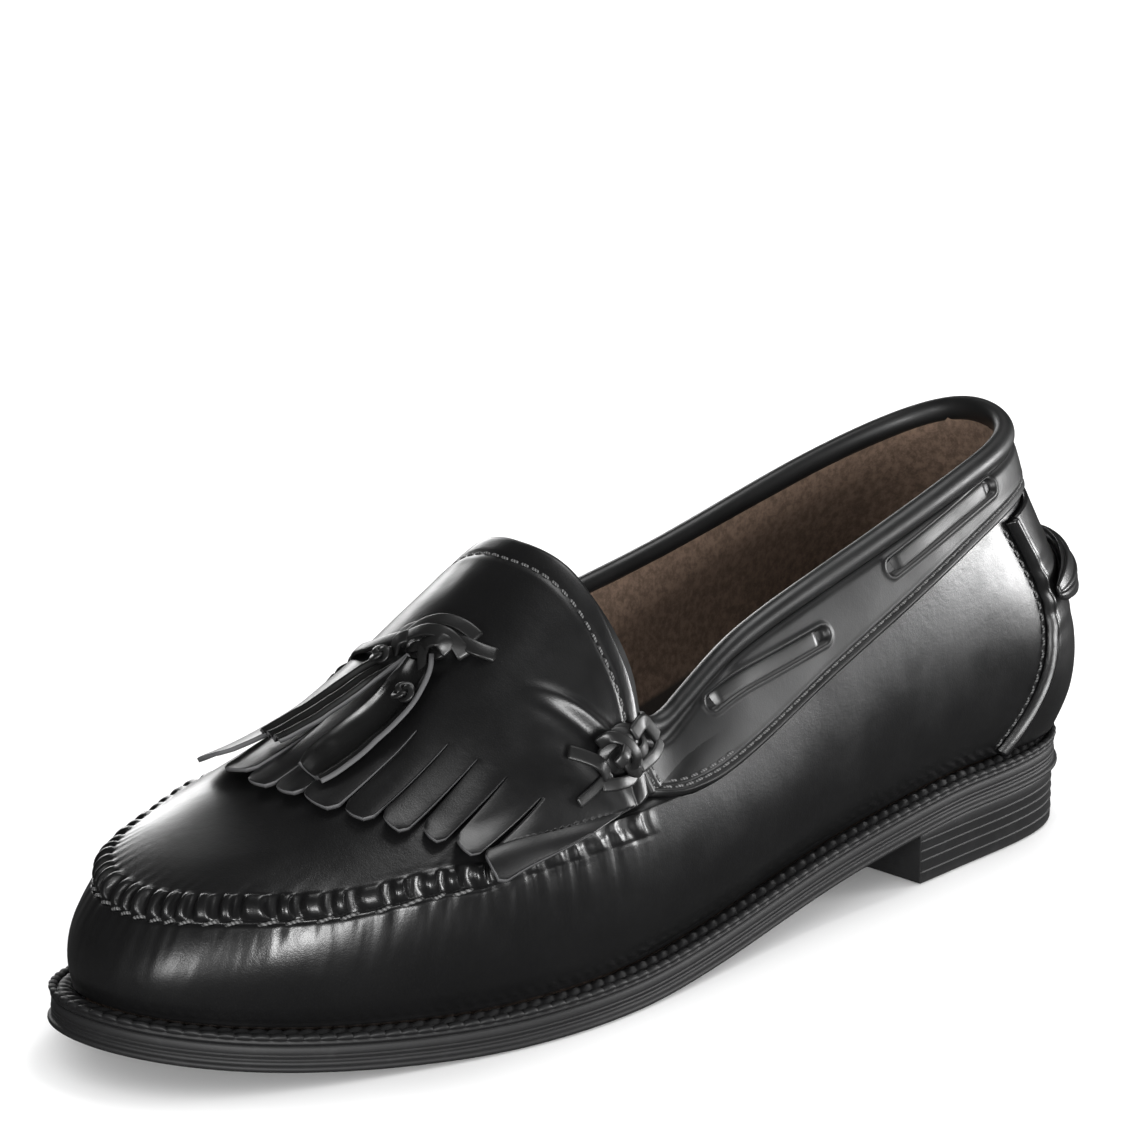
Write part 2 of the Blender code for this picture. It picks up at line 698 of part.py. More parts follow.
KICKER_RISE = 0.63
KICKER_HALF_TURN = 0.066
KICKER_HEIGHT = 12.0
KICKER_THICK = 3.6
KICKER_POINTS = 15
KICKER_TAPER = 0.86


def add_kicker(leather):
    """The gathered roll of leather across the back, where the strip is narrowest."""
    share = np.linspace(-1, 1, KICKER_POINTS)
    turns = share * KICKER_HALF_TURN * np.where(share < 0, STRIP_INNER_SIDE, 1)
    rises = np.full_like(turns, KICKER_RISE)
    full = np.sqrt(1 - KICKER_TAPER * share**2)
    heights = KICKER_THICK * full
    over = OVERLAY_GAP + STRIP_THICK + GAP + SEAM_RAISE * np.abs(share) ** 6
    centres = face_point(turns, rises, over + heights / 2)
    lifts = face_point(turns, rises, over + heights / 2 + 1) - centres
    points, faces = tube_along(centres, lifts, KICKER_HEIGHT * full, heights)
    return add_object("heel_kicker", points, faces, leather)


# The kiltie's pattern over the dome: place across it, upper edge and tips of the fringe
# Columns: across, top, tip, lift of the tip
KILTIE = (
    (-0.95, 166.0, 208.0, 4.5),
    (-0.80, 153.0, 214.0, 2.5),
    (-0.50, 152.2, 216.0, 0.8),
    (0.00, 153.0, 215.5, 0.6),
    (0.50, 152.2, 211.0, 0.6),
    (0.80, 152.0, 206.0, 0.6),
    (0.95, 160.0, 198.0, 0.8),
)
STRIPS = 10
SLIT_LENGTH = 23.0
SLIT_WIDTH = 0.5
KILTIE_GAP = 0.6
KILTIE_LIFT_SHARES = (0.55, 1.0)
BODY_ROWS = 7
# One strip from its root to its round tip. Columns: share of its length, share of its width
STRIP_ROWS = ((0.35, 1.0), (0.7, 1.0), (0.88, 0.96), (0.96, 0.75), (1.0, 0.4))


def kiltie_place(across, share, offset):
    """A point of the kiltie: across the dome, share 0 at its upper edge to 1 at the tips."""
    top, tip, lift = (table(KILTIE, across, column) for column in (1, 2, 3))
    s = top + (tip - top) * share
    x = table(DOME, s, 3) + across * dome_half_width(s)
    return dome_point(x, s, offset + lift * smooth(*KILTIE_LIFT_SHARES, share))


def kiltie_pattern():
    """Flat pattern as (across, share) points and its cells: a body and a row of strips."""
    edges = np.linspace(KILTIE[0][0], KILTIE[-1][0], 2 * STRIPS + 1)
    top, tip = table(KILTIE, edges, 1), table(KILTIE, edges, 2)
    root = 1 - SLIT_LENGTH / (tip - top)
    body = np.linspace(0, 1, BODY_ROWS)[:, None] * root[None, :]
    points = [(edges[j], body[i, j]) for i in range(BODY_ROWS) for j in range(len(edges))]
    columns = len(edges)
    cells = []
    for i in range(BODY_ROWS - 1):
        for j in range(columns - 1):
            a = i * columns + j
            cells.append((a, a + 1, a + columns + 1, a + columns))
    last = (BODY_ROWS - 1) * columns
    for strip in range(STRIPS):
        middle = 2 * strip + 1
        before = [last + middle - 1, last + middle, last + middle + 1]
        half = (edges[middle + 1] - edges[middle - 1]) / 2
        slit = SLIT_WIDTH / 2 / DOME_HALF_WIDTH
        for share, width in STRIP_ROWS:
            down = root[middle] + (1 - root[middle]) * share
            start = len(points)
            for side in (-1, 0, 1):
                points.append((edges[middle] + side * (half - slit) * width, down))
            now = [start, start + 1, start + 2]
            cells.append((before[0], before[1], now[1], now[0]))
            cells.append((before[1], before[2], now[2], now[1]))
            before = now
    return np.array(points), cells


def add_kiltie(leather):
    """The fringed flap over the vamp: one leather with its strips cut in, wrapped on the dome."""
    pattern, cells = kiltie_pattern()
    under = len(pattern)
    low = kiltie_place(pattern[:, 0], pattern[:, 1], KILTIE_GAP)
    high = kiltie_place(pattern[:, 0], pattern[:, 1], KILTIE_GAP + KILTIE_THICK)
    faces = []
    sides = set()
    for cell in cells:
        faces.append(cell)
        faces.append(tuple(under + k for k in reversed(cell)))
        sides.update(zip(cell, cell[1:] + cell[:1]))
    for a, b in sorted(sides):
        if (b, a) not in sides:
            faces.append((b, a, under + a, under + b))
    return add_object("kiltie", np.concatenate([high, low]), faces, leather)


# Lace stretches that lie over the collar band between their slits
# Columns: name, from turn, from rise, to turn, to rise
BAND_LACES = (
    ("lace_outer_front", 0.295, 1.66, 0.217, 1.44),
    ("lace_outer_rear", 0.176, 1.56, 0.090, 1.54),
    ("lace_inner_front", 0.780, 1.62, 0.838, 1.44),
    ("lace_inner_rear", 0.870, 1.54, 0.928, 1.52),
)
OVER_BAND = OVERLAY_GAP + BAND_THICK + 1.5 * GAP
LACE_POINTS = 9
LACE_FACETS = 6
LACE_DIP = 0.35


def add_band_lace(name, turn, rise, to_turn, to_rise, finish):
    """A flat lace stretch: an elliptical tube that dips towards its slits at both ends."""
    share = np.linspace(0, 1, LACE_POINTS)
    turns = turn + (to_turn - turn) * share
    rises = rise + (to_rise - rise) * share
    full = np.clip(np.sin(share * math.pi) * 4, LACE_DIP, 1)
    heights = LACE_THICK * full
    centres = face_point(turns, rises, OVER_BAND + heights / 2)
    lifts = face_point(turns, rises, OVER_BAND + heights / 2 + 1) - centres
    widths = LACE_WIDTH * (1 + full) / 2
    points, faces = tube_along(centres, lifts, widths, heights, LACE_FACETS)
    return add_object(name, points, faces, finish)


KNOT_ROWS = 7
KNOT_COLUMNS = 14
KNOT_WAVE = 0.07


def knot_solid(name, centre, axes, size, finish):
    """A round knot of crossing strands: an ellipsoid whose skin rises in a woven wave."""
    polar = np.linspace(0, math.pi, KNOT_ROWS + 2)[1:-1, None]
    around = np.arange(KNOT_COLUMNS)[None, :] * 2 * math.pi / KNOT_COLUMNS
    wave = 1 + KNOT_WAVE * np.cos(3 * around + 4 * polar) * np.sin(polar)
    across = np.sin(polar) * np.cos(around) * wave
    forward = np.sin(polar) * np.sin(around) * wave
    up = np.broadcast_to(np.cos(polar), wave.shape)
    parts = np.stack([across, forward, up], -1) * np.array(size) / 2
    points = centre + parts.reshape(-1, 3) @ np.array(axes)
    return add_object(name, points, tube_faces(KNOT_ROWS, KNOT_COLUMNS), finish)


SIDE_KNOTS = (("knot_outer", 0.362, 1.66), ("knot_inner", 0.727, 1.64))
SIDE_KNOT_SIZE = (11.0, 13.0, 5.6)
SIDE_KNOT_OVER = 2.2


def add_side_knot(name, turn, rise, finish):
    """The woven knot where the collar band meets the kiltie, standing clear of both."""
    turns, rises = np.array([turn]), np.array([rise])
    ground = face_point(turns, rises, np.array([SIDE_KNOT_OVER]))[0]
    lift = face_point(turns, rises, np.array([SIDE_KNOT_OVER + 1]))[0] - ground
    along = (face_place(turns + TURN_STEP, rises) - face_place(turns - TURN_STEP, rises))[0]
    side = np.cross(along, lift)
    side /= np.linalg.norm(side)
    axes = (side, np.cross(lift, side), lift)
    return knot_solid(name, ground + lift * SIDE_KNOT_SIZE[2] / 2, axes, SIDE_KNOT_SIZE, finish)


BOW_KNOT_AT = (-3.5, 176.0)
BOW_KNOT_SIZE = (12.0, 9.0, 6.0)
OVER_KILTIE = KILTIE_GAP + KILTIE_THICK + GAP


def add_bow_knot(finish):
    """The knot that both lace ends and both tassels come out of."""
    x, s = BOW_KNOT_AT
    centre = dome_point(x, s, OVER_KILTIE + BOW_KNOT_SIZE[2] / 2)
    lift = dome_normal(np.array(x), np.array(s))
    side = np.cross([0, 1.0, 0], lift)
    side /= np.linalg.norm(side)
    axes = (side, np.cross(lift, side), lift)
    return knot_solid("bow_knot", centre, axes, BOW_KNOT_SIZE, finish)


# Lying lengths on the kiltie: place, width and thickness along each, from the knot outwards
# Columns: x, s, width, thickness, raise
LACE_TO_OUTER_SLIT = (
    (3.4, 175.0, 3.0, 1.4, 0.6),
    (8.0, 173.2, 3.4, 1.4, 0.3),
    (13.5, 171.6, 3.4, 0.8, 0.0),
)
LACE_TO_INNER_SLIT = (
    (-10.6, 176.4, 3.0, 1.4, 0.6),
    (-16.5, 177.0, 3.4, 1.4, 0.3),
    (-23.0, 176.8, 3.4, 0.8, 0.0),
)
TASSEL_INNER = (
    (-7.0, 182.6, 4.2, 4.2, 0.8),
    (-9.5, 187.0, 5.2, 4.6, 0.4),
    (-12.5, 191.5, 6.4, 4.2, 0.2),
    (-16.0, 197.0, 8.2, 3.2, 0.2),
    (-19.5, 202.5, 8.6, 2.6, 0.8),
    (-21.5, 206.0, 8.0, 2.0, 1.2),
)
TASSEL_OUTER = (
    (-1.6, 182.8, 4.2, 4.2, 0.8),
    (-1.2, 187.5, 5.4, 4.6, 0.4),
    (-1.0, 192.5, 8.0, 4.4, 0.2),
    (-1.4, 199.0, 10.4, 3.6, 0.2),
    (-2.2, 205.0, 9.6, 3.0, 0.2),
    (-3.0, 209.5, 5.0, 2.0, 0.2),
)


def add_lying_length(name, rows, finish):
    """A lace stretch or a tassel that lies on the kiltie, swept through its table of rows."""
    rows = np.array(rows)
    known = np.linspace(0, 1, len(rows))
    share = np.linspace(0, 1, 2 * len(rows) - 1)
    x, s, widths, heights, raised = (
        table(np.column_stack([known, rows[:, k]]), share, 1) for k in range(5)
    )
    centres = dome_point(x, s, OVER_KILTIE + raised + heights / 2)
    points, faces = tube_along(centres, dome_normal(x, s), widths, heights)
    return add_object(name, points, faces, finish)


def clear_scene():
    """Start from an empty scene."""
    for item in list(bpy.data.objects):
        bpy.data.objects.remove(item, do_unlink=True)


def main():
    """Build all 20 pieces of the shoe."""
    clear_scene()
    leather = material("polished_leather", (0.012, 0.012, 0.013), 0.22, 0.6)
    rubber = material("sole_rubber", (0.02, 0.02, 0.02), 0.6)
    lace = material("rawhide_lace", (0.015, 0.014, 0.013), 0.45, 0.2)
    sock = material("sock_leather", (0.02, 0.017, 0.015), 0.7)
    add_outsole(rubber)
    add_heel(rubber)
    add_welt(rubber)
    add_insole(sock)
    add_upper(leather)
    add_collar_band(leather)
    add_heel_strip(leather)
    add_kicker(leather)
    add_kiltie(leather)
    for name, *route in BAND_LACES:
        add_band_lace(name, *route, lace)
    for name, turn, rise in SIDE_KNOTS:
        add_side_knot(name, turn, rise, lace)
    add_bow_knot(lace)
    add_lying_length("lace_to_outer_slit", LACE_TO_OUTER_SLIT, lace)
    add_lying_length("lace_to_inner_slit", LACE_TO_INNER_SLIT, lace)
    add_lying_length("tassel_inner", TASSEL_INNER, leather)
    add_lying_length("tassel_outer", TASSEL_OUTER, leather)


main()
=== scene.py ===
# %% [markdown]
# # A black kiltie loafer
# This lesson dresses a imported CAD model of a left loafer. The solids give the size and the
# place of each piece. Here every piece is drawn again with the detail of real leather: the
# gathered moccasin seam, the padded collar, the fringed kiltie, knots, tassels and the welt.
# Surfaces are worked out with numpy as functions of two parameters, in millimetres.

# %% Load the solids as a fixed frame
import math

import bpy
import numpy as np
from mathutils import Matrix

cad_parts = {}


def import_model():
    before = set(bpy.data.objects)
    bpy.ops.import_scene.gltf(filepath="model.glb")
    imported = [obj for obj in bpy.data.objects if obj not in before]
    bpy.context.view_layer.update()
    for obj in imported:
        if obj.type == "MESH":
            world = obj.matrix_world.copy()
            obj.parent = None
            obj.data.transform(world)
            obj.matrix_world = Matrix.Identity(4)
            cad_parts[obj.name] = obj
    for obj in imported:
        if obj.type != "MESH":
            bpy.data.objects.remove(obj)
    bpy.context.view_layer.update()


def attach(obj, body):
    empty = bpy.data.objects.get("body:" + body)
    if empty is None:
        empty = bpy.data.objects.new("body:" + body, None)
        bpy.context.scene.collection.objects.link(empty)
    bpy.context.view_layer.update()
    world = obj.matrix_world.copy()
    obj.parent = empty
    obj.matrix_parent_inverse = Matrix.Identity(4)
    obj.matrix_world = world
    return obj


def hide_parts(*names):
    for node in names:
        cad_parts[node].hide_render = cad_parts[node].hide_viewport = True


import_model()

# %% [markdown]
# ## Camera
# The photograph is taken from the shoe's front outer corner, 45 degrees round from the toe and
# 18.7 degrees up, with a long lens. The shoe sits low in the frame, so the lens is shifted
# instead of tilted. The camera comes first, because everything is judged through it.

# %% Place the camera
MM = 0.001
CENTRE_X = -2.0
CENTRE_Y = 2.5
VIEW_AZIMUTH = math.radians(45)
VIEW_RISE = math.radians(18.7)
VIEW_DISTANCE = 1.15
VIEW_TARGET = np.array([-CENTRE_X, -CENTRE_Y, 35.0]) * MM
SENSOR = 36.0
LENS = 177.2
FRAME_SHIFT = (-0.0312, 0.1845)


def place_camera():
    """Camera looking along a line that leaves the target at the given azimuth and rise."""
    back = np.array([
        math.sin(VIEW_AZIMUTH) * math.cos(VIEW_RISE),
        -math.cos(VIEW_AZIMUTH) * math.cos(VIEW_RISE),
        math.sin(VIEW_RISE),
    ])
    data = bpy.data.cameras.new("view")
    data.sensor_width = SENSOR
    data.lens = LENS
    data.shift_x, data.shift_y = FRAME_SHIFT
    data.clip_start = 0.05
    data.clip_end = 20.0
    camera = bpy.data.objects.new("view", data)
    camera.location = VIEW_TARGET + back * VIEW_DISTANCE
    camera.rotation_euler = (math.pi / 2 - VIEW_RISE, 0, VIEW_AZIMUTH)
    bpy.context.scene.collection.objects.link(camera)
    bpy.context.scene.camera = camera
    return camera


camera = place_camera()
print("camera at", tuple(round(v, 3) for v in camera.location))

# %% [markdown]
# ## The last
# A shoe is built over a last. Three closed loops describe it: the feather line where the upper
# meets the welt, the seam of the plug and collar band, and the rim. Positions on the upper are
# given by turns (0 at the back of the heel, about 0.55 at the toe, outer side first) and by a
# rise (0 at the feather line, 1 at the seam, 2 at the rim). The numbers are the CAD's own.

# %% Driving sizes and the three loops
SOLE_LENGTH = 265.0
HEEL_LIFT = 12.5
HEEL_BREAST = 65.0
WAIST_START = 45.0
WAIST_END = 162.0
SPRING_START = 188.0
TOE_SPRING = 8.0
OUTSOLE_EDGE = 5.6
WELT_EDGE = 2.2
GAP = 0.3
SEAT_GAP = 0.4
WALL = 1.8
WELT_SHELF = 4.6
HEEL_SHELF = 2.6
SHELF_WIDENS = (8.0, 45.0)
INSOLE_ABOVE_WELT = 2.4
BEAD_DROP = 3.5
KILTIE_THICK = 1.5
KILTIE_GAP = 0.6
FINE = 1600
TURN_STEP = 0.002
RISE_STEP = 0.01

# Sole outline, heel back to toe along the outer side and home along the inner side
# Columns: s, x
OUTLINE = (
    (0, 0), (3.2, 12), (12, 22.3), (28, 27.8), (47, 29.6), (66, 31.2), (95, 32.6), (120, 35.2),
    (148, 38.8), (172, 40.6), (194, 38.0), (215, 32.0), (236, 23.8), (252, 14), (261.5, 2.5),
    (264.6, -10), (261.5, -22.5), (251, -33), (233, -40.5), (210, -44.5), (185, -43.5),
    (158, -36.5), (130, -28.5), (100, -25.2), (70, -27.5), (42, -29.5), (18, -26.5), (4, -15),
)

# Seam loop. Columns: turn, s, x, z, swell of the wall below, lean of that swell
SEAM = (
    (0.000, 12.0, 0.0, 76.0, 8.6, 0.60),
    (0.050, 18.5, 15.5, 75.5, 7.0, 0.50),
    (0.110, 42.0, 25.0, 71.0, 5.2, 0.35),
    (0.170, 72.0, 30.0, 62.0, 4.5, 0.30),
    (0.230, 103.0, 33.5, 52.0, 4.5, 0.30),
    (0.290, 137.0, 37.5, 42.0, 4.5, 0.20),
    (0.340, 163.0, 38.5, 41.5, 4.0, 0.10),
    (0.390, 190.0, 38.0, 41.0, 3.6, 0.00),
    (0.440, 213.0, 32.0, 38.5, 3.8, 0.00),
    (0.490, 234.0, 20.0, 36.5, 4.0, 0.00),
    (0.530, 246.0, 6.0, 37.0, 4.2, 0.10),
    (0.570, 250.0, -9.0, 37.5, 4.2, 0.10),
    (0.600, 245.0, -22.0, 38.0, 4.0, 0.10),
    (0.635, 228.0, -31.0, 39.0, 4.0, 0.10),
    (0.680, 204.0, -37.0, 43.0, 4.0, 0.10),
    (0.730, 172.0, -36.0, 45.0, 3.5, 0.10),
    (0.785, 135.0, -33.0, 46.0, 2.5, 0.10),
    (0.850, 90.0, -28.5, 56.0, 3.0, 0.20),
    (0.915, 42.0, -25.0, 71.0, 5.0, 0.35),
    (0.955, 20.0, -16.5, 75.5, 7.0, 0.50),
)

# Rim loop. Columns: turn, s, x, z
RIM = (
    (0.000, 15.0, 0.0, 92.0),
    (0.050, 21.0, 13.0, 90.0),
    (0.110, 43.0, 20.5, 86.0),
    (0.170, 70.0, 23.5, 80.0),
    (0.230, 98.0, 25.5, 73.5),
    (0.290, 128.0, 28.0, 65.0),
    (0.340, 148.0, 30.0, 58.0),
    (0.390, 149.0, 27.0, 68.0),
    (0.440, 150.5, 20.0, 79.5),
    (0.490, 152.0, 11.0, 86.0),
    (0.530, 152.5, 3.0, 88.0),
    (0.570, 153.0, -4.0, 88.0),
    (0.600, 152.5, -11.5, 86.0),
    (0.635, 151.0, -20.0, 79.5),
    (0.680, 149.5, -27.5, 68.5),
    (0.730, 149.0, -31.5, 59.0),
    (0.785, 124.0, -32.0, 61.0),
    (0.850, 84.0, -29.0, 69.0),
    (0.915, 42.0, -23.5, 81.0),
    (0.955, 21.0, -14.0, 88.5),
)

# The vamp's dome. Columns: s, height of the seam's plane, rise of the ridge, centre line
DOME = (
    (140, 43.0, 50.0, 0.0),
    (152, 42.5, 45.0, 0.0),
    (165, 42.5, 36.0, 0.0),
    (180, 42.5, 26.0, 0.0),
    (195, 42.0, 17.0, -1.0),
    (208, 40.5, 12.0, -1.8),
    (225, 38.0, 9.0, -4.0),
    (250, 37.5, 8.0, -8.0),
)
DOME_HALF_WIDTH = 37.5
DOME_THROAT_HALF_WIDTH = 33.5
DOME_THROAT = (165.0, 140.0)
DOME_ROUND_START = 200.0
DOME_END = 250.5
DOME_TILT = -0.8
ACROSS_POWER = 2.6
ALONG_POWER = 2.2
FRONT_FROM = (0.27, 0.36)
FRONT_TO = (0.71, 0.77)

# %% Smooth readings of the tables


def smooth(low, high, value):
    """Smooth step: 0 below low, 1 above high, 3t^2 - 2t^3 between."""
    part = np.clip((value - low) / (high - low), 0, 1)
    return part * part * (3 - 2 * part)


def spline_ring(turns, rows, at):
    """Periodic cubic spline through rows at the given turns, read at the turns in at."""
    turns = np.asarray(turns, float)
    rows = np.asarray(rows, float)
    count = len(rows)
    knots = np.append(turns, turns[0] + 1)
    ends = np.vstack([rows, rows[:1]])
    steps = np.diff(knots)
    matrix = np.zeros((count, count))
    bends = np.zeros_like(rows)
    for i in range(count):
        before, after = steps[i - 1], steps[i]
        matrix[i, i - 1] += before
        matrix[i, i] += 2 * (before + after)
        matrix[i, (i + 1) % count] += after
        bends[i] = 6 * ((ends[i + 1] - rows[i]) / after - (rows[i] - rows[i - 1]) / before)
    bends = np.linalg.solve(matrix, bends)
    bends = np.vstack([bends, bends[:1]])
    where = turns[0] + (np.asarray(at, float) - turns[0]) % 1
    k = np.clip(np.searchsorted(knots, where, side="right") - 1, 0, count - 1)
    step = steps[k][:, None]
    left = (knots[k + 1] - where)[:, None]
    right = (where - knots[k])[:, None]
    curve = (bends[k] * left**3 + bends[k + 1] * right**3) / (6 * step)
    curve += (ends[k] / step - bends[k] * step / 6) * left
    return curve + (ends[k + 1] / step - bends[k + 1] * step / 6) * right


def chord_turns(rows):
    """Turns 0 to 1 for rows of a closed outline, by the length of its chords."""
    rows = np.asarray(rows, float)
    chords = np.linalg.norm(np.roll(rows, -1, 0) - rows, axis=1)
    return np.concatenate([[0], np.cumsum(chords)[:-1]]) / chords.sum()


def run_of(path):
    """Length along a path of points, up to each point."""
    return np.concatenate([[0], np.cumsum(np.linalg.norm(np.diff(path, axis=0), axis=1))])


def hump(value, centre, width):
    """A bell curve e^(-t^2), t being the distance from the centre in widths."""
    return np.exp(-(((value - centre) / width) ** 2))


def outward(loop):
    """Unit vectors, as (s, x), that point out of a closed loop in plan."""
    along = np.roll(loop, -1, 0)[:, :2] - np.roll(loop, 1, 0)[:, :2]
    along /= np.linalg.norm(along, axis=1)[:, None]
    return np.stack([-along[:, 1], along[:, 0]], 1)


def table(rows, s, column):
    """Smooth reading of one column of a table whose first column is s."""
    rows = np.asarray(rows, float)
    known, values = rows[:, 0], rows[:, column]
    slopes = np.gradient(values, known)
    s = np.clip(s, known[0], known[-1])
    k = np.clip(np.searchsorted(known, s, side="right") - 1, 0, len(known) - 2)
    step = known[k + 1] - known[k]
    t = (s - known[k]) / step
    start = (2 * t**3 - 3 * t**2 + 1) * values[k] + (t**3 - 2 * t**2 + t) * step * slopes[k]
    return start + (3 * t**2 - 2 * t**3) * values[k + 1] + (t**3 - t**2) * step * slopes[k + 1]


def world(rows):
    """(s, x, z) rows as world points (x, y, z), still in millimetres."""
    rows = np.asarray(rows, float)
    x = rows[..., 1] - CENTRE_X
    return np.stack([x, SOLE_LENGTH / 2 - rows[..., 0] - CENTRE_Y, rows[..., 2]], -1)


# %% Sole heights, dome and loops


def sole_bottom(s):
    """Height of the outsole's lower face: lifted over the heel, sprung at the toe."""
    s = np.asarray(s, float)
    waist = HEEL_LIFT * (1 - smooth(WAIST_START, WAIST_END, s))
    spring = np.clip((s - SPRING_START) / (SOLE_LENGTH - SPRING_START), 0, None)
    return waist + TOE_SPRING * spring**2


def welt_top(s):
    """Height of the shelf that the upper stands on."""
    return sole_bottom(s) + OUTSOLE_EDGE + GAP + WELT_EDGE


def outline(turns):
    """The sole's edge as (s, x) rows."""
    return spline_ring(chord_turns(OUTLINE), OUTLINE, turns)


def dome_half_width(s):
    """Half the dome's width: it narrows a little towards the throat."""
    narrower = (DOME_HALF_WIDTH - DOME_THROAT_HALF_WIDTH) * smooth(*DOME_THROAT, s)
    return DOME_HALF_WIDTH - narrower


def dome(x, s):
    """Height of the vamp over plan point (x, s): a tilted plane plus a superelliptic dome."""
    across = np.abs(x - table(DOME, s, 3)) / dome_half_width(s)
    along = np.clip((s - DOME_ROUND_START) / (DOME_END - DOME_ROUND_START), 0, 1)
    radius = np.clip(across**ACROSS_POWER + along**ALONG_POWER, 0, 1)
    plane = table(DOME, s, 1) + DOME_TILT * x / DOME_HALF_WIDTH
    return plane + table(DOME, s, 2) * (1 - radius)


def dome_normal(x, s):
    """Unit normals of the dome in world axes, by small differences."""
    step = 0.5
    across = (dome(x + step, s) - dome(x - step, s)) / (2 * step)
    along = (dome(x, s + step) - dome(x, s - step)) / (2 * step)
    normal = np.stack([-across, along, np.ones_like(across)], -1)
    return normal / np.linalg.norm(normal, axis=-1, keepdims=True)


def dome_point(x, s, offset):
    """World points at a height of offset over the vamp's dome."""
    x, s, offset = np.broadcast_arrays(*(np.asarray(v, float) for v in (x, s, offset)))
    base = world(np.stack([s, x, dome(x, s)], -1))
    return base + dome_normal(x, s) * offset[..., None]


def front_share(turns):
    """1 where the upper follows the dome, 0 round the collar."""
    turns = np.asarray(turns) % 1
    return smooth(*FRONT_FROM, turns) * (1 - smooth(*FRONT_TO, turns))


def loop_ring(rows, turns):
    """A loop as (s, x, z) rows, laid on the dome in front."""
    ring = spline_ring([row[0] for row in rows], [row[1:4] for row in rows], turns)
    front = front_share(turns)
    ring[:, 2] += front * (dome(ring[:, 1], ring[:, 0]) - ring[:, 2])
    return ring


def shelf_width(s):
    """How far the sole's edge stands out past the upper: less round the heel."""
    return HEEL_SHELF + (WELT_SHELF - HEEL_SHELF) * smooth(*SHELF_WIDENS, s)


def feather_map():
    """Fine feather line, its running length, and the seam's, matched at heel and toe."""
    fine = np.arange(FINE) / FINE
    edge = outline(fine)
    edge = edge - outward(edge) * shelf_width(edge[:, 0])[:, None]
    ring = np.vstack([edge, edge[:1]])
    run = run_of(ring)
    seam = spline_ring([row[0] for row in SEAM], [row[1:3] for row in SEAM], fine)
    seam = np.vstack([seam, seam[:1]])
    seam_run = run_of(seam)
    return ring, run, seam_run, run[np.argmax(ring[:, 0])], seam_run[np.argmax(seam[:, 0])]


FEATHER = feather_map()


def feather_ring(turns):
    """Where the upper meets the welt, at shares of its length between heel and toe."""
    ring, run, seam_run, toe, seam_toe = FEATHER
    here = np.interp(np.asarray(turns) % 1, np.append(np.arange(FINE) / FINE, 1), seam_run)
    outer = here / seam_toe * toe
    inner = toe + (here - seam_toe) / (seam_run[-1] - seam_toe) * (run[-1] - toe)
    reach = np.where(here <= seam_toe, outer, inner)
    s, x = np.interp(reach, run, ring[:, 0]), np.interp(reach, run, ring[:, 1])
    return np.stack([s, x, welt_top(s) + SEAT_GAP], 1)


def feather_outward(turns):
    """Unit (s, x) vectors out of the feather line at any turns."""
    step = 0.004
    along = feather_ring(turns + step)[:, :2] - feather_ring(turns - step)[:, :2]
    along /= np.linalg.norm(along, axis=1)[:, None]
    return np.stack([-along[:, 1], along[:, 0]], 1)


def loop_parts(turns):
    """All that depends on the turn alone: feather, its outward, seam, rim, swell, lean, front."""
    swell, lean = spline_ring([r[0] for r in SEAM], [r[4:6] for r in SEAM], turns).T
    return {
        "feather": feather_ring(turns), "out": feather_outward(turns),
        "seam": loop_ring(SEAM, turns), "rim": loop_ring(RIM, turns),
        "swell": swell, "lean": lean, "front": front_share(turns),
    }


def face_rows(parts, rises):
    """(s, x, z) of the upper's plain face. Below the seam: a chord from feather to seam plus a
    bulge 4t(1-t); above it: a line from seam to rim, lifted onto the dome in front."""
    rises = np.asarray(rises, float)
    wall = np.clip(rises, 0, 1)[..., None]
    row = parts["feather"] * (1 - wall) + parts["seam"] * wall
    t = wall[..., 0]
    bulge = 4 * t * (1 - t) * (1 + parts["lean"] * (1 - 2 * t)) * parts["swell"]
    row[..., :2] += parts["out"] * bulge[..., None]
    above = np.clip(rises - 1, 0, 1.2)[..., None]
    top = parts["seam"] * (1 - above) + parts["rim"] * above
    top[..., 2] += parts["front"] * (dome(top[..., 1], top[..., 0]) - top[..., 2])
    return np.where((rises <= 1)[..., None], row, top)


def face_place(turns, rises):
    """World points of the plain outer face for any arrays of turns and rises."""
    turns, rises = np.broadcast_arrays(np.asarray(turns, float), np.asarray(rises, float))
    if turns.ndim == 2 and np.ptp(turns, axis=0).max() == 0:
        return world(face_rows(loop_parts(turns[0]), rises))
    flat = face_rows(loop_parts(turns.reshape(-1)), rises.reshape(-1))
    return world(flat).reshape(*turns.shape, 3)


def face_normal(turns, rises):
    """Unit outward normals of the plain face: (step up the wall) x (step round it)."""
    turns, rises = np.broadcast_arrays(np.asarray(turns, float), np.asarray(rises, float))
    up = face_place(turns, rises + RISE_STEP) - face_place(turns, rises - RISE_STEP)
    around = face_place(turns + TURN_STEP, rises) - face_place(turns - TURN_STEP, rises)
    normal = np.cross(up, around)
    return normal / np.linalg.norm(normal, axis=-1, keepdims=True)


def face_point(turns, rises, offset):
    """Points at a height of offset over the plain face, along its normal."""
    offset = np.asarray(offset, float)[..., None]
    return face_place(turns, rises) + face_normal(turns, rises) * offset


def loop_heights(turns):
    """Lengths in millimetres: feather to seam, and seam to rim, at each turn."""
    parts = loop_parts(turns)
    wall = np.linalg.norm(parts["seam"] - parts["feather"], axis=1)
    return wall, np.linalg.norm(parts["rim"] - parts["seam"], axis=1)


SEAM_TURNS = np.linspace(0, 1, FINE + 1)
seam_points = loop_ring(SEAM, SEAM_TURNS)
SEAM_RUN = run_of(seam_points)
print("seam loop:", round(SEAM_RUN[-1], 1), "mm round")

# %% [markdown]
# ## From arrays to meshes
# A surface is a grid of points, so its faces follow from its rows and columns alone. The
# helpers closed_shell and sheet_solid turn grids into closed meshes. The faces are turned
# outwards by the sign of the volume that they enclose.

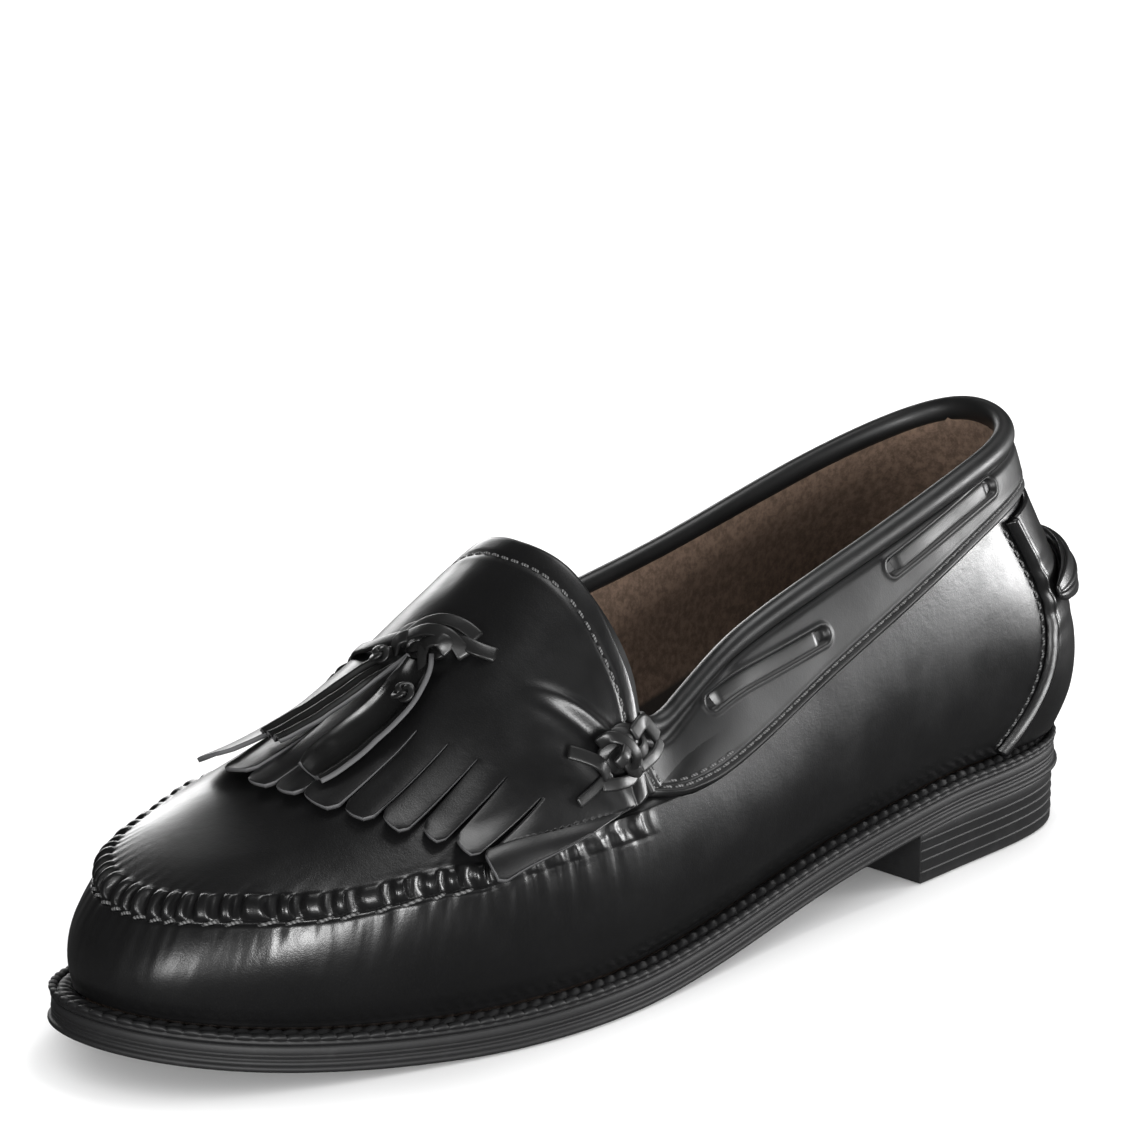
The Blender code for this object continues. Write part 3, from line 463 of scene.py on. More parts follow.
# %% Mesh helpers


def grid_quads(rows, columns, wrap_rows=False, wrap_columns=False):
    """Corner numbers of every cell of a grid whose points are stored row by row."""
    i = np.arange(rows if wrap_rows else rows - 1)[:, None]
    j = np.arange(columns if wrap_columns else columns - 1)[None, :]
    here, right = i * columns + j, i * columns + (j + 1) % columns
    below = (i + 1) % rows * columns
    return np.stack([here, right, below + (j + 1) % columns, below + j], -1).reshape(-1, 4)


def as_triangles(faces):
    """Each four-cornered face as two triangles."""
    if faces.shape[1] == 3:
        return faces
    return np.concatenate([faces[:, [0, 1, 2]], faces[:, [0, 2, 3]]])


def enclosed(points, groups):
    """Signed volume: a sixth of the sum of a . (b x c) over all triangles."""
    total = 0.0
    for faces in groups:
        tri = as_triangles(faces)
        a, b, c = points[tri[:, 0]], points[tri[:, 1]], points[tri[:, 2]]
        total += np.einsum("ij,ij->", a, np.cross(b, c)) / 6
    return total


def build(name, points, groups, materials, face_slots=None, uv=None, marks=None):
    """One object from points in millimetres and arrays of faces. uv is a pair of numbers for
    each point; marks holds named numbers for each point that the materials read."""
    points = np.asarray(points, float)
    groups = [np.asarray(g) for g in groups if len(g)]
    middle = points - points.mean(0)
    if enclosed(middle, groups) < 0:
        groups = [g[:, ::-1] for g in groups]
    mesh = bpy.data.meshes.new(name)
    corners = np.concatenate([g.reshape(-1) for g in groups]).astype(np.int32)
    sizes = np.concatenate([np.full(len(g), g.shape[1]) for g in groups]).astype(np.int32)
    starts = np.concatenate([[0], np.cumsum(sizes)[:-1]]).astype(np.int32)
    mesh.vertices.add(len(points))
    mesh.vertices.foreach_set("co", (points * MM).astype(np.float32).reshape(-1))
    mesh.loops.add(len(corners))
    mesh.loops.foreach_set("vertex_index", corners)
    mesh.polygons.add(len(sizes))
    mesh.polygons.foreach_set("loop_start", starts)
    mesh.polygons.foreach_set("loop_total", sizes)
    if face_slots is not None:
        mesh.polygons.foreach_set("material_index", np.asarray(face_slots, np.int32))
    mesh.update(calc_edges=True)
    if uv is not None:
        layer = mesh.uv_layers.new(name="along")
        layer.data.foreach_set("uv", np.asarray(uv, np.float32)[corners].reshape(-1))
    for label, values in (marks or {}).items():
        layer = mesh.attributes.new(label, "FLOAT", "POINT")
        layer.data.foreach_set("value", np.asarray(values, np.float32).reshape(-1))
    mesh.validate()
    mesh.shade_smooth()
    for finish in materials:
        mesh.materials.append(finish)
    made = bpy.data.objects.new(name, mesh)
    bpy.context.scene.collection.objects.link(made)
    triangles = int(sum(len(g) * (g.shape[1] - 2) for g in groups))
    print(name, triangles, "triangles")
    return made


def closed_shell(outer, inner):
    """Points and faces of a wall between two grids whose columns close round the shoe."""
    points = np.concatenate([outer, inner[::-1]])
    rows, columns = points.shape[:2]
    return points.reshape(-1, 3), grid_quads(rows, columns, True, True)


def sheet_solid(top, bottom):
    """Points and faces of an open sheet with two faces and a border of four sides."""
    rows, columns = top.shape[:2]
    under = rows * columns
    quads = grid_quads(rows, columns)
    border = np.concatenate([
        np.arange(columns), np.arange(1, rows) * columns + columns - 1,
        (rows - 1) * columns + np.arange(columns - 2, -1, -1),
        np.arange(rows - 2, 0, -1) * columns,
    ])
    ahead = np.roll(border, -1)
    rim = np.stack([ahead, border, under + border, under + ahead], 1)
    points = np.concatenate([top.reshape(-1, 3), bottom.reshape(-1, 3)])
    return points, np.concatenate([quads, under + quads[:, ::-1], rim])


def merged(parts):
    """Several (points, faces) solids as one set of arrays, each turned outwards."""
    all_points, all_faces, start = [], [], 0
    for points, faces in parts:
        if enclosed(points - points.mean(0), [faces]) < 0:
            faces = faces[:, ::-1]
        all_points.append(points)
        all_faces.append(faces + start)
        start += len(points)
    return np.concatenate(all_points), np.concatenate(all_faces)


def unit(vectors):
    """Vectors at length 1, along the last axis."""
    return vectors / np.maximum(np.linalg.norm(vectors, axis=-1, keepdims=True), 1e-9)


def superellipse(facets, power):
    """Unit section |u|^p + |v|^p = 1 as two arrays."""
    angle = np.arange(facets) / facets * 2 * math.pi
    u = np.sign(np.cos(angle)) * np.abs(np.cos(angle)) ** (2 / power)
    v = np.sign(np.sin(angle)) * np.abs(np.sin(angle)) ** (2 / power)
    return u, v


def fan_caps(rows, columns):
    """Triangles that close both ends of a tube, whose two middle points follow its rings."""
    ring = np.arange(columns)
    ahead = np.roll(ring, -1)
    end = (rows - 1) * columns
    first = np.stack([ahead, ring, np.full(columns, rows * columns)], 1)
    last = np.stack([end + ring, end + ahead, np.full(columns, rows * columns + 1)], 1)
    return first, last


def sweep(path, lift, width, height, facets=12, power=2.0, round_ends=True):
    """Closed tube along path. Its section is a superellipse |u|^p + |v|^p = 1, width across
    and height along lift, and both shrink to nothing in a quarter circle at each end."""
    path, lift = np.asarray(path, float), unit(np.asarray(lift, float))
    along = unit(np.gradient(path, axis=0))
    side = unit(np.cross(along, lift))
    lift = unit(np.cross(side, along))
    count = len(path)
    width = np.broadcast_to(np.asarray(width, float), (count,)).copy()
    height = np.broadcast_to(np.asarray(height, float), (count,)).copy()
    if round_ends:
        run = run_of(path)
        reach = np.minimum(run, run[-1] - run) / np.maximum(height / 2, 0.1)
        taper = np.sqrt(np.clip(1 - (1 - np.clip(reach, 0, 1)) ** 2, 0.02, 1))
        width -= height * (1 - taper)
        height *= taper
    u, v = superellipse(facets, power)
    rings = path[:, None] + side[:, None] * (u * width[:, None] / 2)[..., None]
    rings = rings + lift[:, None] * (v * height[:, None] / 2)[..., None]
    points = np.concatenate([rings.reshape(-1, 3), path[:1], path[-1:]])
    quads = grid_quads(count, facets, wrap_columns=True)
    return points, np.concatenate([as_triangles(quads), *fan_caps(count, facets)])


def whole_noise(key):
    """A repeatable number from 0 to 1 for each whole number: the broken part of a big sine."""
    value = np.sin(np.asarray(key, float) * 12.9898 + 4.1414) * 43758.5453
    return value - np.floor(value)


def lattice_noise(points, scale, seed=0.0):
    """Value noise from -1 to 1: random numbers at whole places, blended by 6t^5 - 15t^4 + 10t^3."""
    place = np.asarray(points, float) / scale
    low = np.floor(place)
    part = place - low
    part = part**3 * (part * (part * 6 - 15) + 10)
    total = 0.0
    for dx in (0, 1):
        for dy in (0, 1):
            for dz in (0, 1):
                corner = low + (dx, dy, dz)
                key = corner @ np.array([1.0, 57.0, 113.0]) + seed * 7.31
                weight = np.where([dx, dy, dz], part, 1 - part).prod(-1)
                total = total + whole_noise(key) * weight
    return total * 2 - 1


# %% [markdown]
# ## Materials
# The shoe is almost all black, so gloss and relief tell the materials apart. Each effect is a
# node group with its own sockets, and gives only heights, masks or colours. The Principled
# shader stays in the material. Heights are in millimetres, and one bump node turns them into
# a normal. All patterns use object coordinates or UV lengths, so their grain has a real size.

# %% Node helpers


def node(tree, kind, inputs=None, **settings):
    """One node: plain values are set on its sockets, and sockets are linked to them."""
    made = tree.nodes.new(kind)
    for key, value in settings.items():
        setattr(made, key, value)
    for key, value in (inputs or {}).items():
        if isinstance(value, bpy.types.NodeSocket):
            tree.links.new(value, made.inputs[key])
        else:
            made.inputs[key].default_value = value
    return made


def maths(tree, operation, *values):
    """One Math node, returned as its output."""
    made = node(tree, "ShaderNodeMath", dict(enumerate(values)), operation=operation)
    return made.outputs[0]


def ramp_between(tree, value, low, high, start=0.0, end=1.0):
    """Value mapped from low..high to start..end along a smooth step."""
    inputs = {"Value": value, "From Min": low, "From Max": high, "To Min": start, "To Max": end}
    made = node(tree, "ShaderNodeMapRange", inputs, interpolation_type="SMOOTHSTEP")
    return made.outputs["Result"]


def noise(tree, vector, scale, detail=2.0, rough=0.5):
    """Fractal noise from 0 to 1; scale is in cells to the metre."""
    inputs = {"Vector": vector, "Scale": scale, "Detail": detail, "Roughness": rough}
    return node(tree, "ShaderNodeTexNoise", inputs).outputs["Fac"]


def group(name, inputs, outputs):
    """An empty node group, with its input and output nodes."""
    tree = bpy.data.node_groups.new(name, "ShaderNodeTree")
    for label, kind, value in inputs:
        socket = tree.interface.new_socket(label, in_out="INPUT", socket_type=kind)
        if value is not None:
            socket.default_value = value
    for label, kind in outputs:
        tree.interface.new_socket(label, in_out="OUTPUT", socket_type=kind)
    return tree, tree.nodes.new("NodeGroupInput"), tree.nodes.new("NodeGroupOutput")


def use_group(tree, name, inputs=None):
    """A group node of the named group, with its sockets set or linked."""
    return node(tree, "ShaderNodeGroup", inputs, node_tree=bpy.data.node_groups[name])


def place_of(tree):
    """The piece's own coordinates in metres."""
    return node(tree, "ShaderNodeTexCoord").outputs["Object"]


# %% [markdown]
# **Grain.** Polished calf has a fine net of pores and hair-thin wrinkles. Voronoi cells of
# half a millimetre give the net, and stretched noise gives the wrinkles. Slow noise varies the
# gloss, as the polish is never even.

# %% The grain, thread, nap and rubber groups


def make_grain():
    """Height and gloss of polished leather: pores, hair-thin creases and slow dents."""
    inputs = [("Place", "NodeSocketVector", None), ("Pore", "NodeSocketFloat", 1700.0)]
    outputs = [("Height", "NodeSocketFloat"), ("Gloss", "NodeSocketFloat")]
    tree, given, result = group("leather_grain", inputs, outputs)
    place = given.outputs["Place"]
    warp = node(tree, "ShaderNodeTexNoise", {"Vector": place, "Scale": 420.0, "Detail": 2.0})
    shift = node(
        tree, "ShaderNodeVectorMath", {0: warp.outputs["Color"], 1: (0.0007, 0.0007, 0.0007)},
        operation="MULTIPLY",
    )
    moved = node(tree, "ShaderNodeVectorMath", {0: place, 1: shift.outputs[0]}, operation="ADD")
    cells = node(
        tree, "ShaderNodeTexVoronoi", {"Vector": moved.outputs[0], "Scale": given.outputs["Pore"]},
        feature="DISTANCE_TO_EDGE",
    )
    net = ramp_between(tree, cells.outputs["Distance"], 0.0, 0.22)
    wrinkle = maths(tree, "ABSOLUTE", maths(tree, "SUBTRACT", noise(tree, place, 230.0, 4.0), 0.5))
    crease = ramp_between(tree, wrinkle, 0.0, 0.07)
    dents = noise(tree, place, 90.0, 2.0)
    height = maths(tree, "MULTIPLY", net, 0.006)
    height = maths(tree, "MULTIPLY_ADD", crease, 0.004, height)
    height = maths(tree, "MULTIPLY_ADD", dents, 0.05, height)
    peel = noise(tree, place, 620.0, 2.0)
    height = maths(tree, "MULTIPLY_ADD", peel, 0.022, height)
    tree.links.new(height, result.inputs["Height"])
    slow = noise(tree, place, 60.0, 3.0, 0.6)
    tree.links.new(ramp_between(tree, slow, 0.3, 0.7), result.inputs["Gloss"])


def make_thread():
    """Height of a twisted thread along a UV strip whose u is its length in millimetres, and a painted
    shade that is dark in the grooves between its plies.
    """
    inputs = [("Twists", "NodeSocketFloat", 1.6)]
    outputs = [("Height", "NodeSocketFloat"), ("Shade", "NodeSocketFloat")]
    tree, given, result = group("thread_twist", inputs, outputs)
    length = node(tree, "ShaderNodeUVMap", uv_map="along").outputs["UV"]
    parts = node(tree, "ShaderNodeSeparateXYZ", {"Vector": length})
    turns = maths(tree, "MULTIPLY", parts.outputs["X"], given.outputs["Twists"])
    phase = maths(tree, "ADD", turns, parts.outputs["Y"])
    wave = maths(tree, "SINE", maths(tree, "MULTIPLY", phase, 2 * math.pi))
    tree.links.new(maths(tree, "MULTIPLY", wave, 0.06), result.inputs["Height"])
    # Painted shade: Shade is low where the twist's height is low, in the grooves between the plies.
    tree.links.new(maths(tree, "MULTIPLY_ADD", wave, 0.5, 0.5), result.inputs["Shade"])


def make_nap():
    """Suede nap: short fibres brushed one way, and soft patches of lighter nap."""
    inputs = [("Place", "NodeSocketVector", None)]
    outputs = [("Height", "NodeSocketFloat"), ("Patch", "NodeSocketFloat")]
    tree, given, result = group("suede_nap", inputs, outputs)
    place = given.outputs["Place"]
    fibres = noise(tree, place, 3200.0, 3.0, 0.7)
    clumps = noise(tree, place, 700.0, 3.0, 0.6)
    height = maths(tree, "MULTIPLY_ADD", clumps, 0.10, maths(tree, "MULTIPLY", fibres, 0.06))
    tree.links.new(height, result.inputs["Height"])
    patches = noise(tree, place, 520.0, 5.0, 0.75)
    tree.links.new(ramp_between(tree, patches, 0.34, 0.66), result.inputs["Patch"])


def make_dust():
    """Faint pale dust and rub marks on matte rubber."""
    inputs = [("Place", "NodeSocketVector", None)]
    outputs = [("Height", "NodeSocketFloat"), ("Dust", "NodeSocketFloat")]
    tree, given, result = group("rubber_skin", inputs, outputs)
    place = given.outputs["Place"]
    skin = noise(tree, place, 1500.0, 3.0, 0.6)
    tree.links.new(maths(tree, "MULTIPLY", skin, 0.03), result.inputs["Height"])
    dust = noise(tree, place, 160.0, 5.0, 0.7)
    tree.links.new(ramp_between(tree, dust, 0.52, 0.75), result.inputs["Dust"])


make_grain()
make_thread()
make_nap()
make_dust()
print("node groups:", [g.name for g in bpy.data.node_groups])

# %% Materials built from the groups


def new_material(name):
    """A named material with its node tree and its Principled shader."""
    made = bpy.data.materials.new(name)
    made.use_nodes = True
    shader = made.node_tree.nodes["Principled BSDF"]
    return made, made.node_tree, shader


def set_values(shader, **values):
    """Uniform numbers on the shader's own sockets; underscores stand for spaces."""
    for key, value in values.items():
        shader.inputs[key.replace("_", " ")].default_value = value


def bump_from(tree, shader, height, strength=1.0):
    """A bump whose heights are in millimetres."""
    inputs = {"Height": height, "Distance": MM, "Strength": strength}
    made = node(tree, "ShaderNodeBump", inputs)
    tree.links.new(made.outputs["Normal"], shader.inputs["Normal"])


def mix_colour(tree, share, first, second):
    """Two colours, given as numbers or sockets, mixed by a share."""
    made = node(tree, "ShaderNodeMix", {"Factor": share}, data_type="RGBA")
    for socket, value in ((made.inputs[6], first), (made.inputs[7], second)):
        if isinstance(value, bpy.types.NodeSocket):
            tree.links.new(value, socket)
        else:
            socket.default_value = (*value, 1)
    return made.outputs[2]


def leather(name, colour, gloss, pore=1700.0, coat=0.05, relief=1.0):
    """Black leather: grain for relief, and roughness that wanders between two values."""
    made, tree, shader = new_material(name)
    place = place_of(tree)
    grain = use_group(tree, "leather_grain", {"Place": place, "Pore": pore})
    bump_from(tree, shader, grain.outputs["Height"], relief)
    rough = node(
        tree, "ShaderNodeMapRange",
        {"Value": grain.outputs["Gloss"], "To Min": gloss[0], "To Max": gloss[1]},
    )
    tree.links.new(rough.outputs["Result"], shader.inputs["Roughness"])
    set_values(shader, Base_Color=(*colour, 1), Coat_Weight=coat, Coat_Roughness=0.2)
    set_values(shader, IOR=1.5, Coat_IOR=1.5)
    return made


def thread_material(name, dark, light, rough=0.5):
    """Waxed thread: darker between its plies, where shade is painted into its colour."""
    made, tree, shader = new_material(name)
    thread = use_group(tree, "thread_twist")
    colour = mix_colour(tree, thread.outputs["Shade"], dark, light)
    tree.links.new(colour, shader.inputs["Base Color"])
    bump_from(tree, shader, thread.outputs["Height"])
    set_values(shader, Roughness=rough)
    return made


def suede_material(name, dark, light, deep=None):
    """Suede in two tones; deep is a near-black painted shade laid on the points that the mark of that
    name holds.
    """
    made, tree, shader = new_material(name)
    nap = use_group(tree, "suede_nap", {"Place": place_of(tree)})
    colour = mix_colour(tree, nap.outputs["Patch"], dark, light)
    # Painted shade: the points of the deep mark take the near-black colour instead of the suede's.
    if deep is not None:
        inside = node(tree, "ShaderNodeAttribute", attribute_name="deep").outputs["Fac"]
        colour = mix_colour(tree, inside, colour, deep)
    tree.links.new(colour, shader.inputs["Base Color"])
    bump_from(tree, shader, nap.outputs["Height"])
    set_values(shader, Roughness=0.9, Sheen_Weight=0.35, Sheen_Roughness=0.5)
    set_values(shader, Sheen_Tint=(0.5, 0.36, 0.27, 1))
    return made


def rubber_material(name, colour, dusty, rough):
    """Matte rubber with faint dust."""
    made, tree, shader = new_material(name)
    skin = use_group(tree, "rubber_skin", {"Place": place_of(tree)})
    share = maths(tree, "MULTIPLY", skin.outputs["Dust"], 0.5)
    tree.links.new(mix_colour(tree, share, colour, dusty), shader.inputs["Base Color"])
    bump_from(tree, shader, skin.outputs["Height"])
    set_values(shader, Roughness=rough)
    return made


BLACK = (0.0042, 0.0042, 0.0044)
polish = leather("upper_leather", BLACK, (0.28, 0.38))
band_polish = leather("band_leather", BLACK, (0.40, 0.52), relief=0.8)
kiltie_polish = leather("kiltie_leather", BLACK, (0.31, 0.42))
lace_hide = leather("lace_leather", (0.006, 0.006, 0.006), (0.34, 0.48), 2300.0, 0.1, 0.8)
tassel_hide = leather("tassel_leather", (0.004, 0.004, 0.004), (0.24, 0.38), 2000.0, 0.2, 0.7)
cut_edge = leather("cut_edge", (0.065, 0.065, 0.067), (0.55, 0.7), 2600.0, 0.0, 1.5)
# The thread's two colours are painted shade: dark in the grooves between the plies, lighter on their
# crests.
thread = thread_material("waxed_thread", (0.02, 0.02, 0.02), (0.11, 0.11, 0.11))
# The lining's third colour is painted shade: near black on its lower part, deep in the shoe.
suede = suede_material(
    "lining_suede", (0.072, 0.046, 0.031), (0.158, 0.103, 0.072), (0.012, 0.010, 0.009),
)
sock = suede_material("insole_suede", (0.020, 0.016, 0.014), (0.034, 0.027, 0.023))
rubber = rubber_material("sole_rubber", (0.008, 0.008, 0.0085), (0.022, 0.022, 0.023), 0.6)
welt_rubber = rubber_material("welt_rubber", (0.005, 0.005, 0.0055), (0.014, 0.014, 0.014), 0.58)
print("materials:", len(bpy.data.materials))

# %% [markdown]
# ## Stage
# The photograph is a cut-out on white, lit like a product shot. A pale floor and large soft
# panels stand in for it. Each panel is placed where the photo's highlights point: mirror the
# line of sight on the leather and follow it to the lamp.

# %% Floor, world and panels
FLOOR_SIZE = 60.0
FLOOR_DROP = 0.0002
FLOOR_SHADE = 0.93
FLOOR_SHADE_IN_GLOSS = 0.05
AMBIENT = 0.92
AMBIENT_LESS_IN_GLOSS = -0.88
PANEL_AIM = 0.04
# Columns: name, direction from the shoe, distance, width, height, watts
PANELS = (
    ("top", (-0.03, 0.39, 0.92), 1.3, 0.8, 0.8, 6.0),
    ("rear", (0.42, 0.90, 0.11), 1.5, 0.65, 0.45, 16.0),
    ("right", (0.84, 0.52, 0.12), 1.5, 0.35, 0.4, 1.4),
    ("left", (-0.88, 0.43, 0.20), 1.4, 0.9, 0.6, 6.0),
    ("toe", (0.33, -0.95, 0.14), 1.5, 0.33, 0.7, 8.5),
    ("front", (0.90, -0.43, 0.13), 1.5, 0.72, 0.6, 24.0),
)
# Share of a panel's half side over which it fades, and the gain that makes up for that
PANEL_EDGE = 0.7
PANEL_GAIN = 2.2


def make_floor():
    """A pale floor; glossy rays see it darker, so the leather's underside stays black."""
    made, tree, shader = new_material("floor")
    tree.nodes.remove(shader)
    bright, dark = (
        node(tree, "ShaderNodeBsdfDiffuse", {"Color": (shade, shade, shade, 1)})
        for shade in (FLOOR_SHADE, FLOOR_SHADE_IN_GLOSS)
    )
    path = node(tree, "ShaderNodeLightPath")
    mixed = node(
        tree, "ShaderNodeMixShader",
        {0: path.outputs["Is Glossy Ray"], 1: bright.outputs[0], 2: dark.outputs[0]},
    )
    tree.links.new(mixed.outputs[0], tree.nodes["Material Output"].inputs["Surface"])
    half = FLOOR_SIZE / 2
    mesh = bpy.data.meshes.new("floor")
    corners = [(-half, -half, 0), (half, -half, 0), (half, half, 0), (-half, half, 0)]
    mesh.from_pydata(corners, [], [(0, 1, 2, 3)])
    mesh.materials.append(made)
    floor = bpy.data.objects.new("floor", mesh)
    floor.location.z = -FLOOR_DROP
    bpy.context.scene.collection.objects.link(floor)


def make_world():
    """White where the camera sees it, and a dim even light for everything else."""
    world_data = bpy.data.worlds.new("studio")
    bpy.context.scene.world = world_data
    world_data.use_nodes = True
    tree = world_data.node_tree
    tree.nodes.clear()
    path = node(tree, "ShaderNodeLightPath")
    seen = node(tree, "ShaderNodeBackground", {"Color": (1, 1, 1, 1), "Strength": 1.0})
    glossy = path.outputs["Is Glossy Ray"]
    dimmer = maths(tree, "MULTIPLY_ADD", glossy, AMBIENT_LESS_IN_GLOSS, AMBIENT)
    ambient = node(tree, "ShaderNodeBackground", {"Color": (1, 1, 1, 1), "Strength": dimmer})
    mixed = node(
        tree, "ShaderNodeMixShader",
        {0: path.outputs["Is Camera Ray"], 1: ambient.outputs[0], 2: seen.outputs[0]},
    )
    output = node(tree, "ShaderNodeOutputWorld")
    tree.links.new(mixed.outputs[0], output.inputs["Surface"])


def soften_panel(data):
    """A soft box glows less towards its rim: the strength falls to nothing at both edges."""
    data.use_nodes = True
    tree = data.node_tree
    place = node(tree, "ShaderNodeNewGeometry").outputs["Parametric"]
    parts = node(tree, "ShaderNodeSeparateXYZ", {"Vector": place})
    strength = PANEL_GAIN
    for axis in ("X", "Y"):
        away = maths(tree, "ABSOLUTE", maths(tree, "MULTIPLY_ADD", parts.outputs[axis], 2.0, -1.0))
        fall = ramp_between(tree, away, 1.0 - PANEL_EDGE, 1.0, 1.0, 0.0)
        strength = maths(tree, "MULTIPLY", fall, strength)
    tree.links.new(strength, tree.nodes["Emission"].inputs["Strength"])


def make_panel(name, direction, distance, width, height, watts):
    """A soft box at a distance in a direction, turned to face the shoe."""
    data = bpy.data.lights.new(name, "AREA")
    data.shape = "RECTANGLE"
    data.size = width
    data.size_y = height
    data.energy = watts
    soften_panel(data)
    lamp = bpy.data.objects.new(name, data)
    way = unit(np.array(direction, float))
    lamp.location = tuple(way * distance + np.array([0, 0, PANEL_AIM]))
    azimuth = math.atan2(way[1], way[0])
    lamp.rotation_euler = (math.acos(way[2]), 0, azimuth + math.pi / 2)
    bpy.context.scene.collection.objects.link(lamp)


make_floor()
make_world()
for row in PANELS:
    make_panel(*row)
bpy.context.scene.view_settings.view_transform = "Standard"
print("panels:", len(PANELS))

# %% [markdown]
# ## The upper
# The wall leather is gathered over the plug's edge, as on every hand-sewn moccasin. That
# could be done with a modifier, but a formula keeps each lump at its place. The surface is the
# last's face moved along its normal by a height that depends on two lengths: a along the seam
# and d below it. The ridge is an arch in d, cut into lumps by a wave in a. The wave's pitch
# follows the photo: wide lumps along the sides and narrow ones round the toe.

# %% Gathers along the moccasin seam
# Columns: turn, pitch of the gathers in millimetres
PITCH = (
    (0.26, 5.8), (0.30, 5.8), (0.50, 5.6), (0.54, 3.2), (0.60, 2.8), (0.64, 4.2), (0.74, 5.6),
    (0.80, 5.8),
)
GATHER_FROM = (0.322, 0.350)
GATHER_TO = (0.735, 0.765)
RIDGE_CENTRE = 2.5
RIDGE_HALF = 2.5
RIDGE_HEIGHT = 1.75
RECESS = 0.34
RECESS_DEPTH = 0.62
LUMP_SIZE = (0.78, 0.40)
LUMP_SLANT = 0.10
LUMP_BOW = 0.13
NECK = 5.2
NECK_DEPTH = 0.38
# Heights of the folds round the toe and what they gain beside the flap
FOLD_HEIGHT = (0.20, 0.62)


def gather_share(turns):
    """1 along the plug's seam, 0 under the collar band."""
    turns = np.asarray(turns) % 1
    return smooth(*GATHER_FROM, turns) * (1 - smooth(*GATHER_TO, turns))


def gather_phase(turns):
    """Number of gathers from turn 0: the running sum of arc length over pitch."""
    pitch = np.interp(SEAM_TURNS, [p[0] for p in PITCH], [p[1] for p in PITCH])
    step = np.diff(SEAM_RUN) / (0.5 * (pitch[1:] + pitch[:-1]))
    uneven = 0.10 * np.sin(SEAM_RUN[1:] * 0.61) + 0.09 * np.sin(SEAM_RUN[1:] * 0.23 + 1.0)
    count = np.concatenate([[0], np.cumsum(step)])
    count[1:] += uneven
    return np.interp(np.asarray(turns) % 1, SEAM_TURNS, count)


def lump_wave(phase):
    """0 in a recess and 1 on a lump, one of each for every whole number."""
    wave = 0.5 + 0.5 * np.cos(2 * math.pi * phase)
    return smooth(0.03, 0.88, wave)


def beside_kiltie(turns):
    """1 where the flap's side edges lie along the seam, 0 elsewhere."""
    turns = np.asarray(turns) % 1
    outer = smooth(0.325, 0.35, turns) * (1 - smooth(0.395, 0.415, turns))
    inner = smooth(0.67, 0.69, turns) * (1 - smooth(0.735, 0.75, turns))
    return np.maximum(outer, inner)


def wall_relief(turns, along, below):
    """Height in millimetres over the plain face, from the seam down: arch times lumps, a neck
    line under the ridge, and puckers that fade."""
    share = gather_share(turns)
    phase = gather_phase(turns)
    lump_key = np.floor(phase + 0.5)
    size = LUMP_SIZE[0] + LUMP_SIZE[1] * whole_noise(lump_key)
    slant = LUMP_SLANT * (below - RIDGE_CENTRE) / RIDGE_HALF
    bowed = LUMP_BOW * ((below - RIDGE_CENTRE) / RIDGE_HALF) ** 2
    lumps = lump_wave(phase + slant + bowed)
    arch = np.clip(1 - ((below - RIDGE_CENTRE) / RIDGE_HALF) ** 2, 0, 1)
    ridge = RIDGE_HEIGHT * arch**0.6 * (RECESS + (1 - RECESS) * lumps) * size
    ridge -= RECESS_DEPTH * arch * (1 - lumps)
    neck = -NECK_DEPTH * hump(below, NECK, 0.42)
    side = beside_kiltie(turns)
    ridge *= 1 - 0.70 * side
    neck *= 1 - side
    reach = 3.0 + 2.6 * side
    fold = lump_wave(phase + 0.5 + 0.03 * (below - NECK)) - 0.45
    start = NECK - 3.2 * side
    folds = fold * (FOLD_HEIGHT[0] + FOLD_HEIGHT[1] * side)
    folds = folds * np.exp(-np.clip(below - start, 0, None) / reach)
    folds *= smooth(start - 0.6, start + 1.2, below)
    streaks = np.stack([along / 1.5, below / 9.0, np.zeros_like(below)], -1)
    fine = 0.15 * lattice_noise(streaks, 1.6, 7.0) + 0.07 * lattice_noise(streaks, 0.8, 8.0)
    fine = fine * np.exp(-np.clip(below - NECK, 0, None) / 9.0) * smooth(NECK, NECK + 1.5, below)
    return share * (ridge + neck + folds + fine)


def plug_relief(turns, above):
    """Height inside the seam: a dip at the stitches, then short gathers that die away."""
    share = gather_share(turns)
    phase = gather_phase(turns)
    dip = -0.30 * hump(above, 0, 0.6)
    rays = 0.05 * np.cos(2 * math.pi * phase) * np.exp(-above / 2.5) * smooth(0.2, 1.4, above)
    return share * (dip + rays)


def soft_waves(points):
    """The slight unevenness of leather pulled over a last."""
    return 0.13 * lattice_noise(points, 21.0, 3.0) + 0.03 * lattice_noise(points, 9.0, 5.0)


# %% Outer leather and suede lining
LINING_OUT = 1.05
LINING_IN = 1.80
# Share of the bead's drop at which the lining ends, and the seams across it
LINING_DROP = 0.7
LINING_SEAMS = (0.050, 0.979)
# How deep under the plain face the drawn outer leather ends
LEATHER_DEEP = 0.9
# The gathered front, in turns, with its columns, and the rest; then the height with close rows
FRONT_COLUMNS = (0.285, 0.785, 690)
BACK_COLUMNS = (0.785, 1.285, 210)
CLOSE_ROWS = 15.0


def upper_turns():
    """Columns round the shoe, close together where the gathers are."""
    front = np.linspace(*FRONT_COLUMNS, endpoint=False)
    back = np.linspace(*BACK_COLUMNS, endpoint=False)
    return np.concatenate([front, back])


def under_bead(turns):
    """Share of the drop of the edge under the collar's bead: 1 behind, 0 in front."""
    turns = np.asarray(turns) % 1
    return 1 - smooth(0.325, 0.345, turns) * (1 - smooth(0.735, 0.755, turns))


